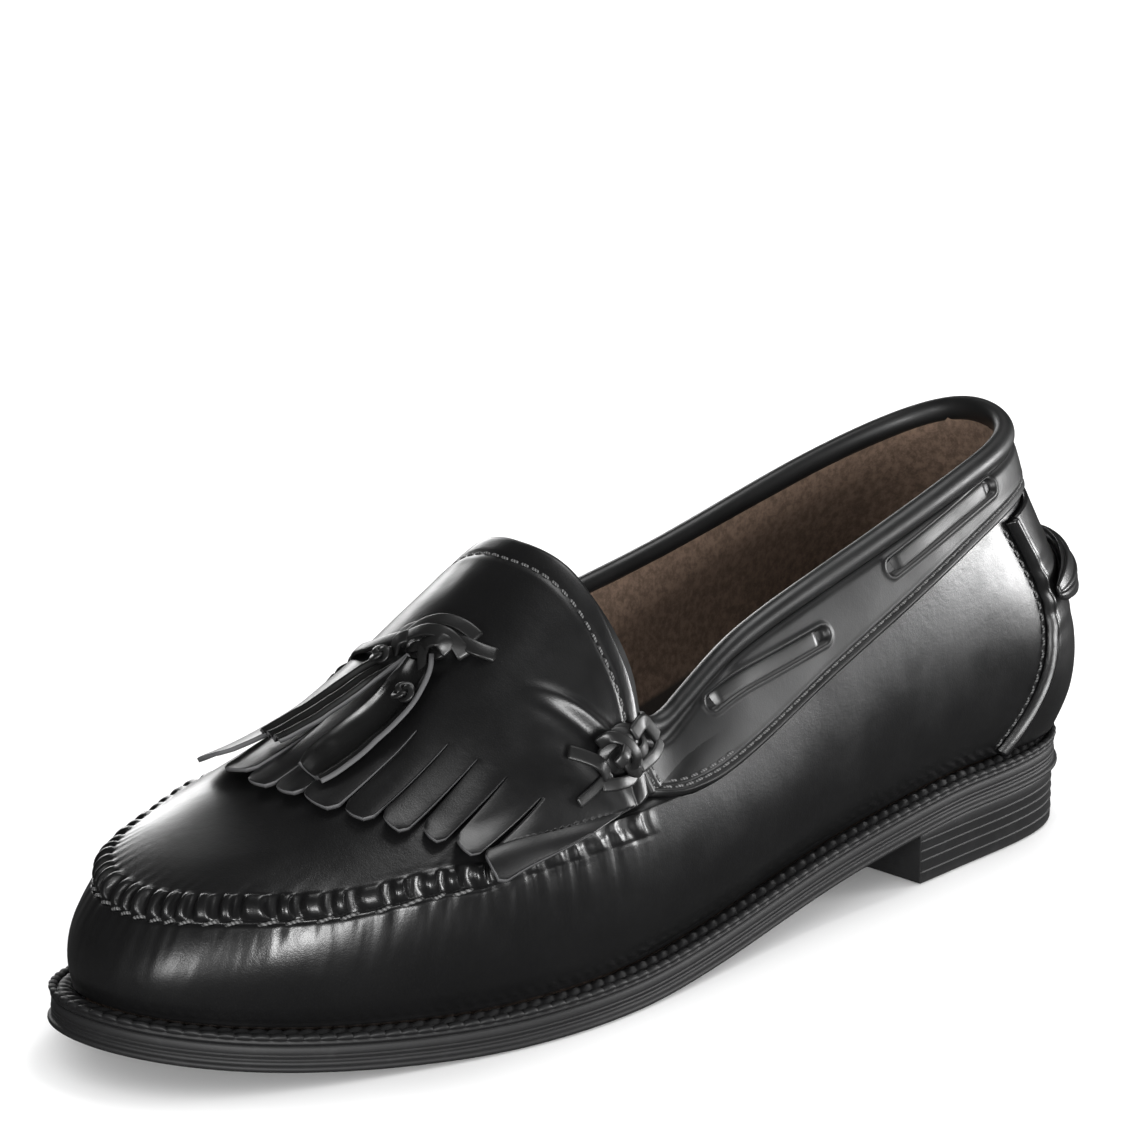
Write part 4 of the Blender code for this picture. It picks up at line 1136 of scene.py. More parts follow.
def upper_outer(turns):
    """Rows from the welt to the rim, as points with the relief added."""
    wall, top = loop_heights(turns)
    along = np.interp(turns % 1, SEAM_TURNS, SEAM_RUN)
    low = np.linspace(0, 1, 15)[:-1]
    near = np.linspace(1, 0, 46)
    reach = np.minimum(CLOSE_ROWS, 0.5 * wall)
    rises = [share * (1 - reach / wall) for share in low]
    rises += [1 - reach * share / wall for share in near]
    drop = BEAD_DROP * under_bead(turns)
    last = 1 - drop / top
    for share in np.linspace(0, 1, 30)[1:] ** 1.35:
        rises.append(1 + last * share)
    rises = np.array(rises)
    grid_turns = np.broadcast_to(turns, rises.shape)
    below = np.clip(1 - rises, 0, None) * wall
    above = np.clip(rises - 1, 0, None) * top
    relief = np.where(
        rises <= 1, wall_relief(grid_turns, along + 0 * rises, below),
        plug_relief(grid_turns, above),
    )
    plain = face_place(grid_turns, rises)
    normal = face_normal(grid_turns, rises)
    relief = relief + soft_waves(plain) * smooth(0, 0.12, rises)
    return rises, plain, normal, relief


def make_upper():
    """Outer leather: the plain face plus relief along its normals, closed by a coarser inner face."""
    turns = upper_turns()
    rises, plain, normal, relief = upper_outer(turns)
    outer = plain + normal * relief[..., None]
    sole_row = outer[0].copy()
    sole_row[:, 2] -= SEAT_GAP - 0.05
    tucked = plain[0] - normal[0] * LEATHER_DEEP
    tucked[:, 2] = sole_row[:, 2]
    pick = [0, 6, 12, 30, *range(60, len(rises) - 1, 3), len(rises) - 1]
    inner = plain[pick] - normal[pick] * LEATHER_DEEP
    outer = np.concatenate([tucked[None], sole_row[None], outer])
    points, faces = closed_shell(outer, inner)
    made = build("upper_leather", points, [faces], [polish])
    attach(made, "root")
    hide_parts("upper")


def make_lining():
    """Suede inside: from the footbed up to the bead, one shell a millimetre thick, painted near black as
    shade on its lower part.
    """
    turns = np.arange(420) / 420
    top = loop_heights(turns)[1]
    last = 1 - BEAD_DROP * LINING_DROP / top
    rises = [np.full_like(turns, 0.03)]
    rises += [np.full_like(turns, r) for r in np.linspace(0.10, 1.0, 30)]
    rises += [1 + last * share for share in np.linspace(0, 1, 24)[1:]]
    rises = np.array(rises)
    grid_turns = np.broadcast_to(turns, rises.shape)
    plain = face_place(grid_turns, rises)
    normal = face_normal(grid_turns, rises)
    wave = 0.16 * lattice_noise(plain, 14.0, 9.0)
    for seam_turn in LINING_SEAMS:
        wave += 0.5 * np.exp(-(((grid_turns - seam_turn) * SEAM_RUN[-1] / 0.8) ** 2))
    # Painted shade: below rise 0.45, deep in the shoe, the lining is coloured near black.
    deep = 1 - smooth(0.45, 0.48, rises + 0.004 * np.sin(grid_turns * 90))
    out = plain - normal * LINING_OUT
    inn = plain - normal * (LINING_IN + wave)[..., None]
    points, faces = closed_shell(out, inn)
    marks = {"deep": np.concatenate([deep, deep[::-1]]).reshape(-1)}
    made = build("upper_lining", points, [faces], [suede], marks=marks)
    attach(made, "root")
    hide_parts("upper")


make_upper()
make_lining()

# %% [markdown]
# ## Collar band
# A strip of leather folded at its lower edge, stitched, padded into a bead along the topline
# and rolled inwards. Its profile is written in millimetres above the lower edge, so that the
# stitches and windows keep their size where the band narrows. The lace shows through windows
# with round ends; the band is pressed down inside them and lipped round them.

# %% The collar band with its windows
BAND_FROM = 0.742
BAND_TO = 1.357
# Lace windows. Columns: from turn, from rise, to turn, to rise
WINDOWS = (
    (0.2915, 1.69, 0.224, 1.46),
    (0.1745, 1.57, 0.096, 1.57),
    (0.783, 1.62, 0.834, 1.46),
    (0.873, 1.54, 0.924, 1.52),
)
WINDOW_HALF = 2.2
WINDOW_DEPTH = 0.95
BAND_THICK = 1.35
BAND_UNDER = 0.15
# The padded bead: its centre's depth under the rim, and its reach out, in and up
BEAD_CENTRE = 1.9
BEAD_OUT = 2.5
BEAD_IN = 2.0
BEAD_HIGH = 2.8
FACE_DROP = 4.4


def band_low(turns):
    """Rise of the band's lower edge; it curves up to the knots at both ends."""
    turns = np.asarray(turns) % 1
    outer = smooth(0.303, 0.357, turns) * (1 - smooth(0.5, 0.55, turns))
    inner = (1 - smooth(0.742, 0.785, turns)) * smooth(0.5, 0.55, turns)
    return 1.0 + 0.66 * np.maximum(outer, inner) ** 1.2


def window_distance(points):
    """Signed distance in millimetres to the nearest window's outline, negative inside."""
    nearest = np.full(points.shape[:-1], 99.0)
    for turn, rise, to_turn, to_rise in WINDOWS:
        share = np.linspace(0, 1, 40)
        line = face_place(turn + (to_turn - turn) * share, rise + (to_rise - rise) * share)
        for first, second in zip(line[:-1], line[1:]):
            way = second - first
            part = np.clip((points - first) @ way / (way @ way), 0, 1)
            gap = np.linalg.norm(points - first - part[..., None] * way, axis=-1)
            nearest = np.minimum(nearest, gap)
    return nearest - WINDOW_HALF


def rim_frame(turns):
    """The rim's points, with unit vectors out of the wall and up along it."""
    parts = loop_parts(turns)
    rim = world(parts["rim"])
    up = unit(rim - world(face_rows(parts, np.full(len(turns), 1.75))))
    ahead = world(loop_ring(RIM, turns + TURN_STEP)) - world(loop_ring(RIM, turns - TURN_STEP))
    return rim, unit(np.cross(up, ahead)), up


def band_profile(turns):
    """Grid of the band's skin, from under its lower edge, up its face, over the bead and down
    inside. Flat part: height over the face as a function of u above the edge."""
    top = loop_heights(turns)[1]
    low = band_low(turns)
    length = (2 - low) * top - FACE_DROP
    share = np.concatenate([np.linspace(0, 0.25, 16)[:-1], np.linspace(0.25, 1, 42)])
    u = share[:, None] * length[None, :]
    rises = low[None, :] + u / top[None, :]
    grid_turns = np.broadcast_to(turns, u.shape)
    plain = face_place(grid_turns, rises)
    normal = face_normal(grid_turns, rises)
    left = length[None, :] - u
    edge = 0.35 * hump(u, 0.9, 0.7) - 1.1 * np.exp(-(u / 0.45))
    channel = -0.28 * hump(u, 2.6, 0.45)
    channel += 0.10 * hump(u, 3.6, 0.6)
    gutter = -0.55 * hump(left, 0, 0.9)
    swell = 0.35 * np.sin(np.clip(u / length[None, :], 0, 1) * math.pi)
    height = BAND_THICK + edge + channel + gutter + swell
    far = window_distance(plain + normal * 1.3)
    height -= WINDOW_DEPTH * (1 - smooth(-0.45, 0.10, far))
    height += 0.30 * hump(far, 0.45, 0.45)
    height += 0.07 * lattice_noise(plain, 12.0, 2.0) + 0.012 * lattice_noise(plain, 4.0, 4.0)
    return plain + normal * height[..., None], plain + normal * BAND_UNDER


def make_band():
    """The band: its face, then an ellipse round the rim for the bead, then the edge inside."""
    turns = np.linspace(BAND_FROM, BAND_TO, 780)
    face, under = band_profile(turns)
    rim, out, up = rim_frame(turns)
    along = np.interp(turns % 1, SEAM_TURNS, SEAM_RUN)
    centre = rim - out * 0.5 - up * BEAD_CENTRE
    plump = 1 + 0.015 * np.sin(along * 0.11) + 0.01 * np.sin(along * 0.23 + 1.0)
    rings = []
    for angle in np.radians(np.linspace(-64, 215, 44)):
        reach = BEAD_OUT if math.cos(angle) > 0 else BEAD_IN
        place = centre + out * (reach * math.cos(angle) * plump[:, None])
        rings.append(place + up * (BEAD_HIGH * math.sin(angle)))
    inner_edge = centre - out * 0.7 - up * 3.2
    profile = np.concatenate([face, np.array(rings), inner_edge[None], under[::-6]])
    grid = profile.transpose(1, 0, 2)
    count, columns = grid.shape[:2]
    points = np.concatenate([grid.reshape(-1, 3), grid[:1].mean(1), grid[-1:].mean(1)])
    quads = grid_quads(count, columns, wrap_columns=True)
    made = build("band_leather", points, [quads, *fan_caps(count, columns)], [band_polish])
    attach(made, "root")
    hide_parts("collar_band")


make_band()

# %% Laces in the windows
BAND_LACE_WIDTH = 3.9
BAND_LACE_THICK = 1.1


def make_band_laces():
    """Flat lace lengths that lie in the windows and dive under the band at both ends."""
    names = ("lace_outer_front", "lace_outer_rear", "lace_inner_front", "lace_inner_rear")
    for name, (turn, rise, to_turn, to_rise) in zip(names, WINDOWS):
        share = np.linspace(-0.01, 1.01, 90)
        turns = turn + (to_turn - turn) * share
        rises = rise + (to_rise - rise) * share
        drawn = np.minimum(share + 0.01, 1.01 - share)
        height = -0.35 + 1.20 * smooth(0, 0.09, drawn) + 0.12 * np.sin(share * 9.0)
        path = face_point(turns, rises, height)
        lift = face_normal(turns, rises)
        points, faces = sweep(path, lift, BAND_LACE_WIDTH, BAND_LACE_THICK, facets=20, power=3.2)
        made = build(name + "_strap", points, [faces], [lace_hide])
        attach(made, "root")
        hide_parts(name)


make_band_laces()

# %% [markdown]
# ## Kiltie
# One flap of leather with ten strips cut into its lower end. Its flat pattern is a grid: body
# rows share their points across the whole width, and below the slits each strip has its own
# columns. Edges that only one face uses are the cut edge, so they are found and closed with a
# wall. Round the strips it shows the grey, unpolished middle of the leather.

# %% The kiltie's pattern and shape
# Strip borders from the inner side to the outer one. Columns: place across the dome and
# station s, both at the upper edge, at the root of the slit and at the tips
BORDERS = (
    (-0.93, 163.0, -0.84, 189.0, -0.80),
    (-0.80, 154.0, -0.50, 192.0, -0.52),
    (-0.62, 152.4, -0.26, 193.5, -0.27),
    (-0.42, 152.3, -0.08, 194.0, -0.08),
    (-0.22, 152.6, 0.11, 194.0, 0.12),
    (0.00, 153.0, 0.31, 193.0, 0.36),
    (0.22, 152.7, 0.49, 191.5, 0.56),
    (0.42, 152.3, 0.64, 189.5, 0.73),
    (0.62, 152.2, 0.77, 186.5, 0.87),
    (0.82, 152.4, 0.89, 182.0, 1.00),
    (0.98, 157.5, 1.09, 176.0, 1.22),
)
# One row for each strip. Columns: station of its tip, lift of its tip, roll about its length
TIPS = (
    (213.5, 2.8, 0.4), (216.0, 1.2, 0.3), (217.8, 0.7, -0.2), (217.0, 0.4, 0.1),
    (216.6, 0.7, -0.2), (214.6, 0.3, 0.2), (211.8, 0.6, -0.2), (207.6, 0.3, 0.2),
    (204.2, 0.6, -0.2), (202.0, 0.3, 0.0),
)
# The folds that the side knot pulls into the flap: where they start, as x and s, and the unit
# vector across them
FOLD_AT = (22.4, 171.6)
FOLD_ACROSS = (0.747, 0.665)
# Columns: distance across them, width, height
KNOT_FOLDS = ((0.0, 1.1, 1.20), (2.5, 1.3, -0.75), (5.6, 2.2, 1.05))
STRIPS = len(TIPS)
STRIP_COLUMNS = 22
BODY_ROWS = 90
STRIP_ROWS = 70
DRAPE_RADIUS = 8.0
DRAPE_START = 0.35
RIDGE_CLEARANCE = 1.6
# Height of the flap's underside over its gap, and the row of stitches inside its upper edge
KILTIE_UNDER = 0.55
KILTIE_ROW = 4.0


def draped(across, s, offset):
    """Points over the dome for |across| up to 1. Past it the leather bends down over the
    seam's ridge: a circle of DRAPE_RADIUS that starts at the angle DRAPE_START."""
    inside = np.clip(across, -1, 1)
    centre, half = table(DOME, s, 3), dome_half_width(s)
    clear = RIDGE_CLEARANCE * smooth(0.86, 1.02, np.abs(across))
    base = dome_point(centre + inside * half, s, offset + clear)
    past = np.clip(np.abs(across) - 1, 0, None) * half
    end = DRAPE_START + past / DRAPE_RADIUS
    sideways = DRAPE_RADIUS * (np.sin(end) - math.sin(DRAPE_START)) * np.sign(across)
    down = DRAPE_RADIUS * (math.cos(DRAPE_START) - np.cos(end))
    return base + np.stack([sideways, np.zeros_like(down), -down], -1)


def rim_of(quads):
    """Edges of a face set that only one face uses, kept in the direction of that face."""
    edges = np.concatenate([np.stack([quads[:, k], quads[:, (k + 1) % 4]], 1) for k in range(4)])
    key = np.sort(edges, axis=1)
    key = key[:, 0].astype(np.int64) * (quads.max() + 1) + key[:, 1]
    found = np.unique(key, return_index=True, return_counts=True)
    return edges[found[1][found[2] == 1]]


def strip_outline(left):
    """Share of a strip's width at left millimetres from its tip: a U with chamfered corners."""
    near = np.clip(left / 1.9, 0, 1)
    return 0.70 + 0.30 * (1 - (1 - near) ** 1.25)


def kiltie_pattern():
    """Arrays over all points (across, s, place on the strip, millimetres to the tip, strip
    number, millimetres from the upper edge) and the quads of the body and the strips."""
    rows = np.array(BORDERS)
    known = np.arange(STRIPS + 1.0)
    fine = np.linspace(0, STRIPS, STRIPS * STRIP_COLUMNS + 1)
    top_a, top_s, root_a, root_s, tip_a = (
        table(np.column_stack([known, rows[:, k]]), fine, 1) for k in range(5)
    )
    wide = len(fine)
    part = np.linspace(0, 1, BODY_ROWS)[:, None]
    across = top_a + (root_a - top_a) * (0.65 * part + 0.35 * part**2)
    s = top_s + (root_s - top_s) * part
    fields = [[across, s, np.zeros_like(s), np.full_like(s, 30.0), np.full_like(s, -1)]]
    quads = [grid_quads(BODY_ROWS, wide)]
    count = BODY_ROWS * wide
    side = np.linspace(-1, 1, STRIP_COLUMNS + 1)[None, :]
    part = 1 - (1 - np.linspace(0, 1, STRIP_ROWS + 1)[1:, None]) ** 1.25
    for k in range(STRIPS):
        columns = np.arange(k * STRIP_COLUMNS, (k + 1) * STRIP_COLUMNS + 1)
        tip_s = TIPS[k][0] - 0.5 * side**2
        root = root_s[columns][None, :]
        s = root + (tip_s - root) * part
        left = (1 - part) * (TIPS[k][0] - root.mean()) + 0 * side
        middle = root_a[columns].mean() + (tip_a[columns].mean() - root_a[columns].mean()) * part
        half = np.ptp(root_a[columns]) / 2 * (1 - part) + np.ptp(tip_a[columns]) / 2 * part
        slit = (0.09 + 0.11 * part) / DOME_HALF_WIDTH * smooth(0, 0.03, part)
        across = middle + side * (half - slit) * strip_outline(left)
        numbers = count + np.arange(across.size).reshape(across.shape)
        numbers = np.concatenate([((BODY_ROWS - 1) * wide + columns)[None], numbers])
        ahead = [numbers[:-1, :-1], numbers[:-1, 1:], numbers[1:, 1:], numbers[1:, :-1]]
        quads.append(np.stack(ahead, -1).reshape(-1, 4))
        fields.append([across, s, side + 0 * s, left, np.full_like(s, k)])
        count += across.size
    joined = [np.concatenate([f[k].reshape(-1) for f in fields]) for k in range(5)]
    return joined, np.concatenate(quads)


def kiltie_relief(across, s, side, left, strip):
    """Heights over the dome: edges turned down, stitch channel, the fold beside the knot,
    strips that curl at their sides, and the slow waves of a limp flap."""
    run = s - table(np.array([(r[0], r[1]) for r in BORDERS]), across, 1)
    on_strip = strip >= 0
    number = np.clip(strip, 0, STRIPS - 1).astype(int)
    tips = np.array(TIPS)[number]
    down = np.where(on_strip, 1 - left / 24.0, 0)
    curl = -0.22 * np.abs(side) ** 3.0 * smooth(0, 0.3, down)
    raised = tips[:, 1] * np.clip(down, 0, 1) ** 1.7
    roll = tips[:, 2] * side * smooth(0.1, 1, down)
    edge = -0.25 * np.exp(-np.clip(run, 0, None) / 0.3)
    edge += 0.10 * hump(run, 1.7, 1.3)
    edge += -0.34 * hump(run, 4.0, 0.55)
    bead = 0.08 * hump(run, 5.3, 0.8)
    x = table(DOME, s, 3) + across * dome_half_width(s)
    beside = (x - FOLD_AT[0]) * FOLD_ACROSS[0] + (s - FOLD_AT[1]) * FOLD_ACROSS[1]
    toward = (x - FOLD_AT[0]) * FOLD_ACROSS[1] - (s - FOLD_AT[1]) * FOLD_ACROSS[0]
    fold = sum(height * hump(beside, at, width) for at, width, height in KNOT_FOLDS)
    fold *= smooth(-5, 9, toward) * (1 - smooth(14, 19, toward))
    place = np.stack([across * 30, run * 0.5, np.zeros_like(run)], -1)
    waves = 0.42 * lattice_noise(place, 11.0, 8.0) + 0.14 * lattice_noise(place, 4.5, 6.0)
    return np.where(on_strip, curl + raised + roll, 0) + edge + bead + fold + waves


def make_kiltie():
    """The flap: the pattern draped twice, at its top and its underside, with walls between."""
    (across, s, side, left, strip), quads = kiltie_pattern()
    lift = kiltie_relief(across, s, side, left, strip)
    high = draped(across, s, KILTIE_GAP + KILTIE_THICK + lift)
    low = draped(across, s, KILTIE_GAP + KILTIE_UNDER + lift)
    border = rim_of(quads)
    under = len(across)
    walls = np.stack([border[:, 1], border[:, 0], under + border[:, 0], under + border[:, 1]], 1)
    faces = np.concatenate([quads, under + quads[:, ::-1], walls])
    cut = strip[border].max(axis=1) >= 0
    slots = np.concatenate([np.zeros(2 * len(quads)), np.where(cut, 1, 0)])
    points = np.concatenate([high, low])
    made = build("kiltie_flap", points, [faces], [kiltie_polish, cut_edge], slots)
    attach(made, "root")
    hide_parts("kiltie")


make_kiltie()

# %% [markdown]
# ## Threads
# Seams are rows of separate stitches. Every stitch is one short swept tube that starts and
# ends under the skin, so one function lays any seam: it needs the seam's path, the normals
# and a stitch length. UVs run along each tube, which gives the thread its twist.

# %% Stitch rows
THREAD = 0.5


def tube_uv(count, facets):
    """UVs of a swept tube: u in millimetres is scaled by the caller, v is the place round it."""
    u = np.repeat(np.linspace(0, 1, count), facets)
    v = np.tile(np.arange(facets) / facets, count)
    return np.concatenate([np.stack([u, v], 1), [[0.0, 0.0], [1.0, 0.0]]])


def stitch_row(path, normals, length, gap, thick, proud=0.10, slant=0.0):
    """Stitches along a path of points: each rises from the hole, lies on the skin and dives."""
    path, normals = np.asarray(path), unit(np.asarray(normals))
    run = run_of(path)
    starts = np.arange(gap / 2, run[-1] - length, length + gap)
    parts, uvs = [], []
    share = np.linspace(0, 1, 9)
    for start in starts:
        at = start + share * length
        line = np.stack([np.interp(at, run, path[:, k]) for k in range(3)], 1)
        lift = unit(np.stack([np.interp(at, run, normals[:, k]) for k in range(3)], 1))
        across = unit(np.cross(np.gradient(line, axis=0), lift))
        rise = proud - (proud + thick * 0.9) * np.abs(2 * share - 1) ** 5
        line = line + lift * rise[:, None] + across * (slant * (share - 0.5))[:, None]
        parts.append(sweep(line, lift, thick * 1.25, thick, facets=7, round_ends=False))
        uvs.append(tube_uv(len(share), 7) * (length, 1.0))
    points, faces = merged(parts)
    return points, faces, np.concatenate(uvs)


def joined_rows(rows):
    """Several stitch rows as one set of arrays."""
    points, faces = merged([row[:2] for row in rows])
    return points, faces, np.concatenate([row[2] for row in rows])


def add_threads(name, rows, finish):
    """One piece from stitch rows that are (points, faces, uv) each."""
    points, faces, uv = joined_rows(rows)
    made = build(name, points, [faces], [finish], uv=uv)
    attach(made, "root")


def kiltie_stitches():
    """One row four millimetres inside the flap's upper edge, between the side knots."""
    rows = np.array(BORDERS)
    known = np.arange(STRIPS + 1.0)
    column = np.linspace(0.7, STRIPS - 0.6, 400)
    across = table(np.column_stack([known, rows[:, 0]]), column, 1)
    s = table(np.column_stack([known, rows[:, 1]]), column, 1) + KILTIE_ROW
    blank = np.zeros_like(s)
    lift = kiltie_relief(across, s, blank, blank + 30, blank - 1)
    path = draped(across, s, KILTIE_GAP + KILTIE_THICK + lift)
    over = draped(across, s, KILTIE_GAP + KILTIE_THICK + lift + 1)
    return stitch_row(path, over - path, 2.1, 0.7, THREAD, proud=0.16)


def band_stitches():
    """The row above the band's folded edge, and a second one at its front corners."""
    turns = np.linspace(BAND_FROM + 0.01, BAND_TO - 0.012, 900)
    top = loop_heights(turns)[1]
    made = []
    for above, first, last in ((2.6, 0, 900), (4.4, 800, 900), (4.4, 0, 90)):
        some = turns[first:last]
        rise = band_low(some) + above / top[first:last]
        skin = face_point(some, rise, BAND_THICK if above < 3 else 1.6)
        made.append(stitch_row(skin, face_normal(some, rise), 2.0, 0.8, THREAD, proud=0.08))
    return made


add_threads("kiltie_stitches", [kiltie_stitches()], thread)
add_threads("band_stitches", band_stitches(), thread)

# %% Stitches of the plug seam
# Each recess between two gathers holds one thread that comes up from under the ridge
SEAM_THREADS = (0.405, 0.735)


def seam_dashes():
    """Short threads lying across the ridge's outer foot, one in each recess."""
    turns = np.linspace(*SEAM_THREADS, 6000)
    phase = gather_phase(turns)
    wall = loop_heights(turns)[0]
    centres = np.arange(math.ceil(phase[0]), math.floor(phase[-1])) + 0.5
    parts, uvs = [], []
    for centre in centres:
        at = np.interp(centre + np.linspace(-0.30, 0.30, 9), phase, turns)
        height = np.interp(at, turns, wall)
        below = NECK + np.linspace(-0.35, 0.35, 9)
        rise = 1 - below / height
        normal = face_normal(at, rise)
        arch = 0.18 - 0.55 * np.abs(np.linspace(-1, 1, 9)) ** 4
        line = face_point(at, rise, arch)
        parts.append(sweep(line, normal, 0.75, 0.6, facets=7, round_ends=False))
        uvs.append(tube_uv(9, 7) * (2.4, 1.0))
    points, faces = merged(parts)
    return points, faces, np.concatenate(uvs)


add_threads("plug_seam_threads", [seam_dashes()], thread)

# %% [markdown]
# ## Knots, laces and tassels
# The knots are real ones: a ribbon of leather follows a closed trefoil, so strands cross over
# and under each other. The formula is a torus knot, (R + a cos 3t)(cos 2t, sin 2t) with the
# height h sin 3t. The lace ends and the tassels leave the bow as separate lengths.

# %% Ribbons and knots


def ribbon_loop(path, lift, width, height, facets=20, power=3.6):
    """A closed ribbon: the section turns with the path and joins its own start."""
    ahead = unit(np.roll(path, -1, 0) - np.roll(path, 1, 0))
    side = unit(np.cross(ahead, lift))
    up = unit(np.cross(side, ahead))
    u, v = superellipse(facets, power)
    u, v = u * width / 2, v * height / 2
    rings = path[:, None] + side[:, None] * u[None, :, None] + up[:, None] * v[None, :, None]
    return rings.reshape(-1, 3), grid_quads(len(path), facets, True, True)


def trefoil(radius, swing, rise, stretch, turn=0.0, count=260):
    """Local points and lifts of a flat trefoil: x, y across the knot and z up from it."""
    t = np.arange(count) / count * 2 * math.pi
    reach = radius + swing * np.cos(3 * t + turn)
    flat = np.stack([reach * np.cos(2 * t) * stretch[0], reach * np.sin(2 * t) * stretch[1]], 1)
    bulge = -0.055 * (flat**2).sum(1)
    points = np.column_stack([flat, rise * np.sin(3 * t + turn) + bulge])
    tilt = np.column_stack([flat * 0.11, np.ones(count)])
    return points, unit(tilt)


def smooth_route(rows, count=60):
    """A Catmull-Rom curve through a few points, read evenly."""
    rows = np.asarray(rows, float)
    known = run_of(rows[:, :3])
    at = np.linspace(0, known[-1], count)
    columns = [table(np.column_stack([known, rows[:, k]]), at, 1) for k in range(rows.shape[1])]
    return np.stack(columns, 1)


def in_frame(origin, axes, rows):
    """Local rows (first three columns) as world points."""
    return origin + np.asarray(rows)[:, :3] @ np.asarray(axes)


# Strands round a side knot, in its own millimetres: towards the toe, towards the rim, height,
# and the ribbon's width and thickness
SIDE_STRANDS = (
    ((1.4, 2.0, 0.6), (-2.8, 3.9, 0.4), (-6.0, 2.3, -1.2), (-9.0, -0.3, -2.6), 3.2, 1.1),
    ((10.2, 2.2, -1.2), (8.6, 3.0, 1.2), (6.0, 1.4, 2.5), (3.8, -2.2, 2.4), (3.6, -5.2, -0.6), 2.6, 1.0),
    ((17.0, 2.6, -2.9), (14.4, 0.8, -1.4), (11.6, -1.8, -0.2), (9.6, -4.6, -1.4), 3.0, 1.0),
    ((11.4, -5.8, -1.9), (8.0, -6.4, -0.4), (3.6, -6.2, -0.8), (0.8, -4.4, -1.6), 2.6, 1.0),
    ((8.8, -3.8, -1.0), (12.6, -5.8, -2.2), (17.8, -7.8, -3.2), 2.2, 0.9),
    ((-9.6, -0.8, -2.6), (-5.6, -3.0, -1.2), (0.4, -4.8, -0.8), 2.4, 0.9),
    ((6.2, 0.2, 2.6), (8.6, -1.6, 3.3), (10.0, -2.8, 2.2), 2.6, 1.3),
)


def make_side_knot(name, cad_name, turn, rise, mirror):
    """A knot at a place on the wall: two trefoils and the ribbons of SIDE_STRANDS round them."""
    turns, rises = np.array([turn]), np.array([rise])
    normal = face_normal(turns, rises)[0]
    ground = face_point(turns, rises, np.array([4.6]))[0]
    toe = np.array([0, -1.0, 0])
    toe = unit(toe - normal * (toe @ normal))
    rimward = np.cross(toe, normal) * mirror
    axes = np.array([toe, rimward, normal])
    parts = []
    for turned, height, size in ((0.0, 0.0, 1.0), (1.1, -0.9, 0.86)):
        flat, lifts = trefoil(3.3 * size, 1.75 * size, 1.15, (1.22, 0.95), turned)
        flat = flat + (2.6, -0.8, height)
        points, faces = ribbon_loop(in_frame(ground, axes, flat), lifts @ axes, 2.6, 0.9)
        parts.append((points, as_triangles(faces)))
    for *rows, width, thick in SIDE_STRANDS:
        path = in_frame(ground, axes, smooth_route(rows, 40))
        lifts = np.broadcast_to(normal, path.shape)
        parts.append(sweep(path, lifts, width, thick * 0.85, facets=16, power=3.6))
    points, faces = merged(parts)
    made = build(name, points, [faces], [lace_hide])
    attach(made, "root")
    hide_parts(cad_name)


make_side_knot("side_knot_outer", "knot_outer", 0.362, 1.68, 1)
make_side_knot("side_knot_inner", "knot_inner", 0.727, 1.64, -1)

# %% The bow, its lace and the rosette
# Routes over the dome. Columns: x, s, height over the dome; then the width and thickness
BOW_STRANDS = (
    ((-6.2, 180.6, 3.6), (-4.4, 178.4, 5.4), (-1.8, 175.9, 6.6), (1.0, 174.2, 6.6),
     (4.6, 173.2, 5.4), (8.6, 173.2, 3.4), 2.7, 1.1),
    ((-7.6, 180.6, 3.4), (-5.2, 180.0, 5.2), (-2.2, 178.8, 6.9), (1.2, 177.4, 7.6),
     (4.6, 176.6, 6.8), (7.0, 176.8, 5.0), (8.9, 177.4, 3.0), 2.8, 1.1),
    ((1.4, 181.6, 4.0), (2.6, 179.4, 6.8), (4.6, 178.2, 7.0), (6.6, 178.4, 4.6), 3.2, 1.2),
    ((-5.6, 182.2, 4.0), (-4.2, 180.4, 6.6), (-2.6, 179.2, 6.4), (-1.4, 179.8, 4.8), 3.2, 1.2),
    ((0.6, 178.6, 6.0), (2.2, 180.6, 6.2), (3.4, 182.6, 5.0), (4.9, 184.3, 3.2), 1.9, 0.9),
    ((-9.0, 179.6, 2.8), (-7.2, 177.4, 4.4), (-4.0, 175.8, 5.0), (-1.0, 175.4, 4.8), 2.5, 1.0),
)
# The lace that leaves one slit, runs under the bow and enters the other
SLIT_LACE = (
    (-22.0, 177.8, 1.9), (-18.4, 179.6, 3.1), (-14.6, 180.3, 3.5), (-10.6, 179.6, 3.9),
    (-6.4, 178.4, 4.3), (-2.0, 177.2, 4.6), (2.4, 176.3, 4.5), (6.6, 175.7, 4.2),
    (10.2, 175.0, 3.4), (13.2, 173.4, 1.9),
)
LACE_ACROSS = 3.4
LACE_THICK = 1.1


def dome_path(rows, count=50):
    """A smooth route over the dome with its lifts."""
    route = smooth_route(rows, count)
    path = dome_point(route[:, 0], route[:, 1], route[:, 2])
    return path, dome_normal(route[:, 0], route[:, 1])


def dome_axes(x, s):
    """Unit vectors across the shoe, along it and out of it, at a place on the dome."""
    normal = dome_normal(np.array(x), np.array(s))
    side = unit(np.cross([0, 1.0, 0], normal))
    return np.array([side, np.cross(normal, side), normal])


def make_bow():
    """The bow: the ribbons of BOW_STRANDS over the dome, gripped by one trefoil."""
    parts = []
    for *rows, width, thick in BOW_STRANDS:
        path, lift = dome_path(rows)
        parts.append(sweep(path, lift, width * 1.12, thick * 0.8, facets=16, power=3.6))
    flat, lifts = trefoil(2.5, 1.3, 0.9, (1.25, 0.85), 0.4)
    axes = dome_axes(1.0, 178.0)
    ground = dome_point(0.4, 178.2, 5.4)
    points, faces = ribbon_loop(in_frame(ground, axes, flat), lifts @ axes, 2.2, 0.95)
    parts.append((points, as_triangles(faces)))
    points, faces = merged(parts)
    made = build("bow_knot_strands", points, [faces], [lace_hide])
    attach(made, "root")
    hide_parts("bow_knot")
    return made


